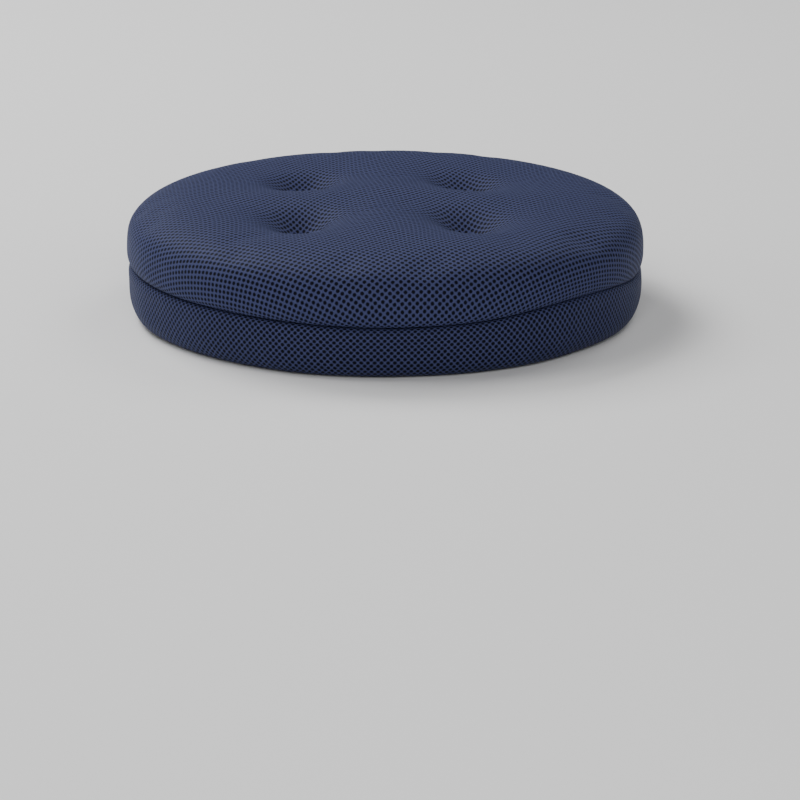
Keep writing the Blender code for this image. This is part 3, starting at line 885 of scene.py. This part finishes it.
def cast_metal(name, colour):
    """Plated zinc: tumbled, with dull patches and fine scratches."""
    nodes = Nodes(name)
    position = nodes.position()
    cloud = nodes.noise(position, 500.0, 4.0, 0.6)
    gloss = nodes.ramp(cloud, 0.25, 0.75, 0.26, 0.44)
    scratches = (nodes.noise(position, 9000.0), 0.00002, 0.4)
    face = nodes.mix(cloud, scaled(colour, 0.72), colour)
    return nodes.surface(face, scratches, Roughness=gloss, Metallic=1.0)


# ---- cloth
def inflate(thing, rest, pinned):
    """Swell a sheet, cut to the rest shape, by a cloth simulation that holds its pins and caps each move."""
    scene = bpy.context.scene
    start = coordinates(thing.data)
    thing.shape_key_add(name="Basis")
    key = thing.shape_key_add(name="cut")
    key.data.foreach_set("co", rest.ravel())
    group = thing.vertex_groups.new(name="pins")
    group.add(np.nonzero(pinned)[0].tolist(), 1.0, "REPLACE")
    cloth = thing.modifiers.new("Cloth", "CLOTH")
    settings = cloth.settings
    settings.rest_shape_key = thing.data.shape_keys.key_blocks["cut"]
    settings.vertex_group_mass = "pins"
    for name, value in CLOTH_SETTINGS.items():
        setattr(settings, name, value)
    settings.effector_weights.gravity = 0
    cloth.collision_settings.use_collision = False
    cloth.point_cache.frame_start = 1
    cloth.point_cache.frame_end = CLOTH_FRAMES
    for number in range(1, CLOTH_FRAMES + 1):
        scene.frame_set(number)
    depsgraph = bpy.context.evaluated_depsgraph_get()
    move = coordinates(thing.evaluated_get(depsgraph).data) - start
    scene.frame_set(1)
    thing.modifiers.remove(cloth)
    thing.shape_key_clear()
    thing.vertex_groups.clear()
    length = np.linalg.norm(move, axis=1, keepdims=True)
    kept = CLOTH_CAP * np.tanh(length / CLOTH_CAP)
    set_coordinates(thing.data, start + move / np.maximum(length, TINY) * kept)


# ---- the pad's top panel and the skirt
def make_pad():
    """The tufted mesh panel over the pad."""
    profile = pad_profile()
    lengths = arc_lengths(profile)
    sheet, faces = flat_disc(lengths[-1])
    untufted = draped(sheet, profile, lengths)
    fill_crease(untufted, PAD_RADIUS)
    open_channel(untufted, 1)
    add_lumps(untufted)
    bend_waist(untufted)
    tufted = untufted.copy()
    tufted[:, 2] -= tuft_drop(tufted)
    # How far the cloth stretches into each tuft, also used to paint the dimples darker as shade.
    stretch_and_shade = smoothstep(tuft_drop(untufted) / STRETCH_AND_SHADE_DROP)
    weave = np.column_stack((gather_in(sheet), stretch_and_shade))
    pad = mesh_from("top_mesh_panel", tufted, faces, weave)
    pinned = untufted[:, 2] < PAD_WIDEST + PIN_MARGIN
    for centre in tuft_centres():
        pinned |= np.hypot(*(untufted[:, :2] - centre).T) < PIN_RADIUS
    inflate(pad, untufted, pinned)
    subdivide(pad)
    thicken(pad, FABRIC_THICKNESS)
    place(pad, spacer_mesh("pad_spacer_mesh", pad_lattice, PAD_PITCH), "navy_mesh", "top_cover")
    return pad


def make_skirt():
    """The padded mesh band round the seat's edge."""
    profile = skirt_profile()
    lengths = arc_lengths(profile)
    rings = round(lengths[-1] / SKIRT_RING_STEP)
    down = np.linspace(0, lengths[-1], rings + 1)
    radius = np.interp(down, lengths, profile[:, 0])
    height = np.interp(down, lengths, profile[:, 1])
    angles = 2 * math.pi * np.arange(SKIRT_SECTORS) / SKIRT_SECTORS
    points = round_points(radius[:, None], angles, height[:, None])
    fill_crease(points, SKIRT_RADIUS)
    open_channel(points, -1)
    add_lumps(points)
    bend_waist(points)
    faces = grid_faces(rings + 1, SKIRT_SECTORS, wrap_columns=True)
    skirt = mesh_from("skirt_mesh_band", points, faces, down_weave(np.repeat(down, SKIRT_SECTORS)))
    subdivide(skirt)
    thicken(skirt, FABRIC_THICKNESS)
    pitch = (2 * math.pi * SKIRT_RADIUS / SKIRT_REPEATS, SKIRT_PITCH_DOWN)
    lattice = band_threads(SKIRT_REPEATS, 1 / SKIRT_PITCH_DOWN)
    place(skirt, spacer_mesh("skirt_spacer_mesh", lattice, pitch), "navy_mesh", "skirt_cover")
    return skirt


# ---- layers under the top
def twine_holes(centres, low, high):
    """Cutters for the holes that the twine's two legs run through at each tuft."""
    legs = []
    for centre in centres:
        outward = Vector(centre).normalized()
        legs += [Vector(centre) + outward * side * TWINE_HALF_SPAN for side in (-1, 1)]
    return [rod(leg, TWINE_HOLE_RADIUS, low, high) for leg in legs]


def make_comfort_foam():
    """The thick soft layer: the top's tufted form down to a flat bottom."""
    low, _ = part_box("comfort_foam")
    outer = pad_profile()
    steps = np.gradient(outer, axis=0)
    steps /= np.linalg.norm(steps, axis=1, keepdims=True)
    inner = outer + np.column_stack((steps[:, 1], -steps[:, 0])) * FOAM_INSET
    last = int(np.nonzero((inner[:, 1] < low.z) & (inner[:, 0] > FLAT_RADIUS))[0][0])
    profile = np.vstack((inner[:last], [(inner[last - 1, 0] + WELD, low.z)]))
    lengths = arc_lengths(profile)
    sheet, faces = flat_disc(lengths[-1])
    top = draped(sheet, profile, lengths)
    fade = smoothstep((lengths[-1] - np.hypot(*sheet.T)) / FOAM_FADE)
    top[:, 2] -= tuft_drop(top) * fade
    top[:, 2] = np.maximum(top[:, 2], low.z + FOAM_LEAST * fade)
    bottom = np.column_stack((sheet * profile[-1, 0] / lengths[-1], np.full(len(sheet), low.z)))
    foam = gathered_mesh("comfort_foam_pad", [(top, faces), (bottom, faces)])
    subdivide(foam)
    cut(foam, twine_holes(tuft_centres(), low.z - CUT_MARGIN, PAD_TOP))
    cells = open_cell_foam("comfort_foam_cells", *shades("soft_foam", 0.55, 1.0), 1500.0)
    place(foam, cells, "soft_foam", "comfort_foam")


def make_support_foam():
    """The firm disc, with holes for the twine and a pocket underneath for each anchor."""
    low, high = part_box("support_foam")
    foam = turned("support_foam_disc", disc_section(high.x, low.z, high.z, FOAM_EDGE), 128)
    cut(foam, twine_holes(tuft_centres(), low.z - CUT_MARGIN, high.z + CUT_MARGIN))
    pockets = []
    for number, centre in enumerate(tuft_centres(), 1):
        anchor_low, anchor_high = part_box(f"tuft_anchor_{number}")
        radius = (anchor_high.x - anchor_low.x) / 2 + ANCHOR_CLEARANCE
        pockets.append(rod(centre, radius, low.z - CUT_MARGIN, anchor_high.z + ANCHOR_CLEARANCE))
    cut(foam, pockets)
    cells = open_cell_foam("support_foam_cells", *shades("firm_foam", 0.5, 1.0), 1000.0)
    place(foam, cells, "firm_foam", "support_foam")


def make_base_panel():
    """The woven panel under the foam."""
    low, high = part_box("base_panel")
    panel = turned("base_fabric_panel", disc_section(high.x, low.z, high.z, BASE_EDGE), 160)
    weave = woven("base_weave", flat_threads(BASE_THREADS), *shades("navy_weave"))
    place(panel, weave, "navy_weave", "base_panel")


def make_grip_sheet():
    """The anti-slip sheet that lies on the seat, and its rubber dots."""
    low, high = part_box("grip_sheet")
    section = disc_section(high.x, low.z + DOT_HEIGHT, high.z, GRIP_EDGE)
    sheet = turned("grip_backing_sheet", section, 144)
    knit = knitted("grip_backing_knit", flat_threads(GRIP_STITCHES), *shades("grip_grey", 0.6, 1.2))
    place(sheet, knit, "grip_grey", "grip_sheet")

    angles = 2 * math.pi * np.arange(DOT_SIDES) / DOT_SIDES
    circle = np.column_stack((np.cos(angles), np.sin(angles)))
    row_height = DOT_PITCH * math.sqrt(0.75)
    rows = int(high.x / row_height)
    dot_faces = grid_faces(len(DOT_STEPS), DOT_SIDES, wrap_columns=True)
    for start in (0, (len(DOT_STEPS) - 1) * DOT_SIDES):
        dot_faces.append(tuple(range(start, start + DOT_SIDES)))
    bits = []
    for row in range(-rows, rows + 1):
        for column in range(-rows - 2, rows + 3):
            centre = np.array(((column + 0.5 * (row % 2)) * DOT_PITCH, row * row_height))
            if np.hypot(*centre) > high.x - DOT_MARGIN:
                continue
            points = []
            for share in DOT_STEPS:
                drop = DOT_HEIGHT * math.sqrt(1 - share**2)
                ring = centre + circle * DOT_RADIUS * share
                points.append(np.column_stack((ring, np.full(DOT_SIDES, low.z + DOT_HEIGHT - drop))))
            bits.append((np.vstack(points), dot_faces))
    dots = gathered_mesh("grip_rubber_dots", bits)
    _, rubber = shades("grip_grey", light=0.35)
    place(dots, moulded_plastic("grip_rubber", rubber, 0.55), "grip_grey")


# ---- tufts
def twisted_loop(centre, outward, top, bottom):
    """The plies of a closed loop of twine that stands upright along a radius."""
    outline = strip_section(-TWINE_HALF_SPAN, TWINE_HALF_SPAN, bottom, top, TWINE_CORNER, 7)
    outline = np.vstack((outline, outline[:1]))
    lengths = arc_lengths(outline)
    where = np.linspace(0, lengths[-1], TWINE_POINTS, endpoint=False)
    across = np.interp(where, lengths, outline[:, 0])
    up = np.interp(where, lengths, outline[:, 1])
    middle = np.column_stack((centre[0] + outward.x * across, centre[1] + outward.y * across, up))
    sideways = np.tile((-outward.y, outward.x, 0.0), (TWINE_POINTS, 1))
    along = np.roll(middle, -1, axis=0) - np.roll(middle, 1, axis=0)
    along /= np.linalg.norm(along, axis=1, keepdims=True)
    other = np.cross(along, sideways)
    turns = round(lengths[-1] / TWINE_LAY)
    bits = []
    for ply in range(TWINE_PLIES):
        angle = 2 * math.pi * (turns * np.arange(TWINE_POINTS) / TWINE_POINTS + ply / TWINE_PLIES)
        offset = sideways * np.cos(angle)[:, None] + other * np.sin(angle)[:, None]
        bits.append(tube(middle + offset * PLY_OFFSET, sideways, PLY_RADIUS, 8, True))
    return bits


def make_tufts(pad):
    """The twisted loops of twine, and the anchors that hold them under the foam."""
    thread = yarn("tuft_twine_yarn", *shades("twine"))
    plastic = moulded_plastic("anchor_plastic", SLOT_COLOURS["anchor_plastic"], 0.42)
    for number, centre in enumerate(tuft_centres(), 1):
        outward = Vector((*centre, 0)).normalized()
        above = Vector((*centre, 1))
        reach = outward * TWINE_HALF_SPAN * TUFT_FLOOR_SHARE
        floor = max(surface_point(pad, above + reach * side, Vector((0, 0, -1)))[0].z for side in (-1, 0, 1))
        low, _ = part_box(f"tuft_twine_{number}")
        bits = twisted_loop(centre, outward, floor + PLY_RADIUS, low.z + PLY_OFFSET + PLY_RADIUS)
        place(gathered_mesh(f"tuft_loop_{number}", bits), thread, "twine", f"tuft_twine_{number}")

        low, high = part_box(f"tuft_anchor_{number}")
        radius = (high.x - low.x) / 2
        section = disc_section(radius, low.z, high.z, ANCHOR_EDGE)
        dished = section[:, 0] < radius * DISH_SHARE
        section[dished, 1] += np.where(section[dished, 1] > (low.z + high.z) / 2, -1, 1) * DISH_DEPTH
        anchor = turned(f"tuft_button_{number}", section, 64)
        anchor.data.transform(Matrix.Translation((*centre, 0)))
        cut(anchor, twine_holes([centre], low.z - CUT_MARGIN, high.z + CUT_MARGIN))
        place(anchor, plastic, "anchor_plastic", f"tuft_anchor_{number}")


# ---- inside and under the skirt
def gathers(angle, count, phase):
    """An uneven ripple round the edge, between -1 and 1."""
    drift = 0.9 * np.sin(5 * angle + phase) + 0.6 * np.sin(11 * angle + 2.1 * phase)
    return np.sin(count * angle + 1.4 * drift) * (0.72 + 0.28 * np.sin(7 * angle + 1.7 * phase))


def make_skirt_padding():
    """The ring of wadding between the skirt's cover and its lining."""
    low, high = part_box("skirt_padding")
    middle = (high.x - PADDING_WIDTH / 2, (low.z + high.z) / 2)
    half = (PADDING_WIDTH / 2, (high.z - low.z) / 2)

    def lumpy(radius, height, angle):
        lump = np.sin(23 * angle + 400 * height) + np.sin(41 * angle - 1.3) * np.cos(9 * angle)
        away = np.sign(radius - middle[0])
        return radius + away * PADDING_LUMP * (lump - 2), height

    section = ellipse_arc(middle, half, 3, 0, 348, 30)
    ring = turned("skirt_wadding", section, 220, True, shape=lumpy)
    place(ring, wadding_fibre("wadding_fibre"), "wadding", "skirt_padding")


def make_skirt_lining():
    """The knitted lining of the pocket that the seat goes in."""
    low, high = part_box("skirt_lining")
    wall = high.x
    corner = LINING_CORNER
    flange = np.linspace(LINING_FLANGE_RADIUS, wall - corner, 12, endpoint=False)
    section = np.vstack(
        (
            np.column_stack((flange, np.full(12, low.z))),
            ellipse_arc((wall - corner, low.z + corner), (corner, corner), 2, -90, 0, 8),
            np.column_stack((np.full(14, wall), np.linspace(low.z + corner, high.z, 15)[1:])),
        )
    )

    def slack(radius, height, angle):
        loose = smoothstep((wall - radius) / (wall - LINING_FLANGE_RADIUS))
        return radius, height + LINING_SLACK * loose * gathers(angle, LINING_GATHERS, 0.4)

    lining = turned("pocket_lining", section[::-1], 336, shape=slack)
    thicken(lining, LINING_THICKNESS)
    knit = knitted("lining_knit", band_threads(*LINING_KNIT), *shades("black_knit"))
    place(lining, knit, "black_knit", "skirt_lining")


def make_hem():
    """The casing gathered under the seat, its elastic, and the stitches that close it."""
    low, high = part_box("hem_band")
    rounding = (high.z - low.z) / 2
    fold_radius = HEM_INNER_RADIUS - HEM_THICKNESS / 2 + rounding
    under = np.linspace(high.x, fold_radius, 20, endpoint=False)
    over = np.linspace(fold_radius, LINING_FLANGE_RADIUS - HEM_GAP, 7)[1:]
    section = np.vstack(
        (
            np.column_stack((under, np.full(len(under), low.z))),
            ellipse_arc((fold_radius, low.z + rounding), (rounding, rounding), 2, 270, 90, 12),
            np.column_stack((over, np.full(len(over), high.z))),
        )
    )

    def gathered(radius, height, angle):
        loose = smoothstep((high.x - radius) / (high.x - fold_radius))
        ripple = HEM_RIPPLE * loose * gathers(angle, HEM_GATHERS, 1.1)
        return radius + ripple, height + ripple

    hem = turned("hem_casing", section, HEM_GATHERS * 6, shape=gathered)
    thicken(hem, HEM_THICKNESS)
    knit = knitted("hem_knit", band_threads(*HEM_KNIT), *shades("black_knit"))
    place(hem, knit, "black_knit", "hem_band")

    low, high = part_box("hem_elastic")
    section = strip_section(high.x - ELASTIC_WIDTH, high.x, low.z, high.z, ELASTIC_EDGE)
    elastic = turned("hem_elastic_ring", section, 360, True)
    ribs = ribbed("elastic_ribs", ELASTIC_RIBS, *shades("elastic", 0.6, 1.1))
    place(elastic, ribs, "elastic", "hem_elastic")

    def below(angle):
        start = Vector(polar(HEM_STITCH_RADIUS, angle, SKIRT_BOTTOM - 0.01))
        return surface_point(hem, start, Vector((0, 0, 1)))

    stitch_line("hem_stitching", below, HEM_STITCH_RADIUS, 0, 2 * math.pi)


# ---- stitches
def polar(radius, angle, height):
    """A point from its radius, angle and height."""
    return radius * math.cos(angle), radius * math.sin(angle), height


def surface_point(thing, origin, direction):
    """Where a ray first meets a piece: the point and the outward normal."""
    hit, point, normal, _ = thing.ray_cast(origin, direction)
    if not hit:
        raise ValueError(f"a ray misses {thing.name}")
    return point, normal


def stitch_line(name, surface_at, radius, start, end):
    """Short stitches along a line round the axis, each sunk into the cloth at both ends."""
    count = round((end - start) * radius / STITCH_PITCH)
    share = np.linspace(0, 1, STITCH_POINTS)
    bits = []
    for number in range(count):
        angles = start + (end - start) * (number + STITCH_SHARE * share) / count
        path = []
        across = []
        for angle, part in zip(angles, share):
            point, normal = surface_at(float(angle))
            rise = THREAD_RADIUS * (2.2 * math.sin(math.pi * part) ** 0.5 - 1.4)
            path.append(point + normal * rise)
            across.append(normal)
        bits.append(tube(np.array(path), np.array(across), THREAD_RADIUS, 6))
    thread = yarn(f"{name}_thread", *shades("twine", 0.5, 1.8))
    place(gathered_mesh(name, bits), thread, "twine")


def make_topstitching(pad, skirt):
    """A line of stitches along each lip of the channel that the zip lies in."""
    start, end = TOPSTITCH_SPAN
    for name, thing, side in (("upper", pad, 1), ("lower", skirt, -1)):
        height = GROOVE_Z + side * (CREASE_HALF + CHANNEL_EXTRA + TOPSTITCH_MARGIN)

        def behind(angle, thing=thing, height=height):
            away = Vector(polar(1, angle, 0))
            return surface_point(thing, away * 0.3 + Vector((0, 0, height)), -away)

        stitch_line(f"zip_topstitching_{name}", behind, PAD_RADIUS, start, end)


# ---- waist seam and zip
def make_waist():
    """The tape that binds the waist seam round the front, and the zip's two tapes."""
    low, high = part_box("waist_seam_tape")
    inner = TAPE_RADIUS - TAPE_THICKNESS / 2
    outer = TAPE_RADIUS + TAPE_THICKNESS / 2
    start = math.pi - math.asin(high.y / TAPE_RADIUS)
    section = strip_section(inner, outer, low.z, high.z, TAPE_EDGE, 2)
    tape = turned("seam_binding_tape", section, 200, True, start, 3 * math.pi - 2 * start)
    weave = woven("seam_tape_weave", band_threads(*TAPE_WEAVE), *shades("navy_weave"))
    place(tape, weave, "navy_weave", "waist_seam_tape")

    weave = herringbone("zip_tape_weave", band_threads(*TAPE_WEAVE), *shades("zip_tape"))
    for name in ("upper", "lower"):
        low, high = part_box(f"zip_tape_{name}")
        start = math.asin(low.y / inner)
        section = strip_section(inner, outer, low.z, high.z, TAPE_EDGE, 2)
        tape = turned(f"zip_woven_tape_{name}", section, 200, True, start, math.pi - 2 * start)
        place(tape, weave, "zip_tape", f"zip_tape_{name}")


def make_zip_coils():
    """The two rows of nylon coil, whose turns lie between each other."""
    nylon = moulded_plastic("zip_nylon", SLOT_COLOURS["zip_coil"], 0.34)
    for name, side, phase in (("upper", 1, 0.0), ("lower", -1, 0.5)):
        low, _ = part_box(f"zip_coil_{name}")
        start = math.asin(low.y / (COIL_RADIUS - COIL_THICKNESS / 2))
        sweep = math.pi - 2 * start
        turns = round(sweep * COIL_RADIUS / COIL_PITCH)
        share = np.arange(turns * COIL_POINTS + 1) / (turns * COIL_POINTS)
        wind = 2 * math.pi * (turns * share + phase)
        angle = start + sweep * share
        radius = COIL_RADIUS + COIL_HALF[0] * np.cos(wind)
        height = GROOVE_Z + side * (COIL_CENTRE + COIL_HALF[1] * np.sin(wind))
        path = round_points(radius, angle, height)
        reference = np.column_stack((-np.sin(angle), np.cos(angle), np.zeros(len(angle))))
        coil = gathered_mesh(f"zip_nylon_coil_{name}", [tube(path, reference, COIL_FILAMENT, 6)])
        place(coil, nylon, "zip_coil", f"zip_coil_{name}")


def softened(name, node, voxel):
    """A copy of a small CAD casting with its edges worn round."""
    thing = add_object(name, frame["nodes"][node].data.copy())
    remesh = thing.modifiers.new("Cast", "REMESH")
    remesh.mode = "VOXEL"
    remesh.voxel_size = voxel
    smooth = thing.modifiers.new("Worn", "SMOOTH")
    smooth.factor = 0.5
    smooth.iterations = 4
    bake_modifiers(thing)
    thing.data.shade_smooth()
    return thing


def tangent(outward):
    """The direction round the axis at a radial direction."""
    return np.array((-outward[1], outward[0], 0))


def round_slider(slider):
    """Round the corners of the slider's plates."""
    points = coordinates(slider.data)
    middle = points.mean(axis=0)
    outward = np.array((middle[0], middle[1], 0)) / np.hypot(middle[0], middle[1])
    along = points @ tangent(outward)
    half_length = np.abs(along).max()
    half_width = np.abs(points[:, 2] - GROOVE_Z).max()
    into = np.clip(np.abs(along) - half_length + SLIDER_CORNER, 0, SLIDER_CORNER)
    width = half_width - SLIDER_CORNER + np.sqrt(SLIDER_CORNER**2 - into**2)
    points[:, 2] = GROOVE_Z + (points[:, 2] - GROOVE_Z) * width / half_width
    set_coordinates(slider.data, points)


def press_recess(pull):
    """Press a long recess into both faces of the pull."""
    points = coordinates(pull.data)
    hinge = np.array(next(joint["pos_m"] for joint in frame["joints"] if joint["child"] == "zip_pull"))
    outward = hinge * (1, 1, 0) / np.hypot(hinge[0], hinge[1])
    local = points - hinge
    along = local @ tangent(outward)
    depth = local @ outward
    low, high = RECESS_SPAN
    outside = np.maximum(np.maximum(low - along, along - high), np.abs(local[:, 2]) - RECESS_HALF)
    press = RECESS_DEPTH * smoothstep(-outside / RECESS_EDGE) * np.sign(depth)
    set_coordinates(pull.data, points - outward * press[:, None])


def make_slider_and_pull():
    """The zip's slider and its pull, cast and plated."""
    metal = cast_metal("zip_plated_metal", SLOT_COLOURS["zip_metal"])
    slider = softened("zip_slider_body", "zip_slider", SLIDER_VOXEL)
    round_slider(slider)
    pull = softened("zip_pull_tab", "zip_pull", PULL_VOXEL)
    press_recess(pull)
    for piece, node in ((slider, "zip_slider"), (pull, "zip_pull")):
        piece.data.materials.clear()
        place(piece, metal, "zip_metal", node, body=node)
    for name in ("zip_stop_start", "zip_stop_end"):
        materials = frame["nodes"][name].data.materials
        materials.clear()
        materials.append(metal)


# ---- camera, floor and light
CAMERA_DISTANCE = 2.5
CAMERA_ELEVATION = math.radians(14.8)
VIEW_WIDTH = 0.5057
VIEW_SHIFT = (0.019, -0.1785)
SENSOR = 36.0
LIGHT_SIZE = 1.2
LIGHTS = (
    ("back_left_light", (-1.2, 1.3, 1.8), 45),
    ("front_light", (0.0, -2.4, 1.2), 26),
    ("top_left_light", (-1.3, 0.0, 2.0), 20),
    ("left_light", (-2.2, 0.0, 0.9), 9),
    ("back_right_light", (1.2, 1.3, 1.8), 14),
    ("front_right_light", (1.4, -1.6, 1.2), 8),
)


def make_camera():
    """The camera, in front of the cushion and a little above it."""
    camera = bpy.data.cameras.new("camera")
    camera.sensor_width = SENSOR
    camera.lens = SENSOR * CAMERA_DISTANCE / VIEW_WIDTH
    camera.shift_x, camera.shift_y = VIEW_SHIFT
    camera.clip_end = 50
    thing = add_object("camera", camera)
    away = Vector((0, -math.cos(CAMERA_ELEVATION), math.sin(CAMERA_ELEVATION)))
    thing.location = Vector((0, 0, GROOVE_Z)) + away * CAMERA_DISTANCE
    thing.rotation_euler = (-away).to_track_quat("-Z", "Y").to_euler()
    bpy.context.scene.camera = thing


def area_light(name, spot, power):
    """A square soft light that points at the cushion."""
    light = bpy.data.lights.new(name, "AREA")
    light.shape = "SQUARE"
    light.size = LIGHT_SIZE
    light.energy = power
    thing = add_object(name, light)
    thing.location = spot
    thing.rotation_euler = (Vector() - Vector(spot)).to_track_quat("-Z", "Y").to_euler()


def make_studio():
    """A plain pale floor and soft light from the upper left."""
    bpy.ops.mesh.primitive_plane_add(size=12, location=(0, 0, SKIRT_BOTTOM - 0.0003))
    floor = bpy.context.object
    floor.name = "studio_floor"
    nodes = Nodes("studio_floor")
    nodes.shader.inputs["Base Color"].default_value = (0.86, 0.86, 0.86, 1)
    nodes.shader.inputs["Roughness"].default_value = 0.9
    floor.data.materials.append(nodes.material)
    world = bpy.data.worlds.new("studio")
    world.use_nodes = True
    background = world.node_tree.nodes["Background"].inputs
    background["Color"].default_value = (1, 1, 1, 1)
    background["Strength"].default_value = 0.10
    bpy.context.scene.world = world
    for light in LIGHTS:
        area_light(*light)


make_camera()
make_studio()
pad = make_pad()
skirt = make_skirt()
make_comfort_foam()
make_support_foam()
make_base_panel()
make_grip_sheet()
make_tufts(pad)
make_skirt_padding()
make_skirt_lining()
make_hem()
make_topstitching(pad, skirt)
make_waist()
make_zip_coils()
make_slider_and_pull()
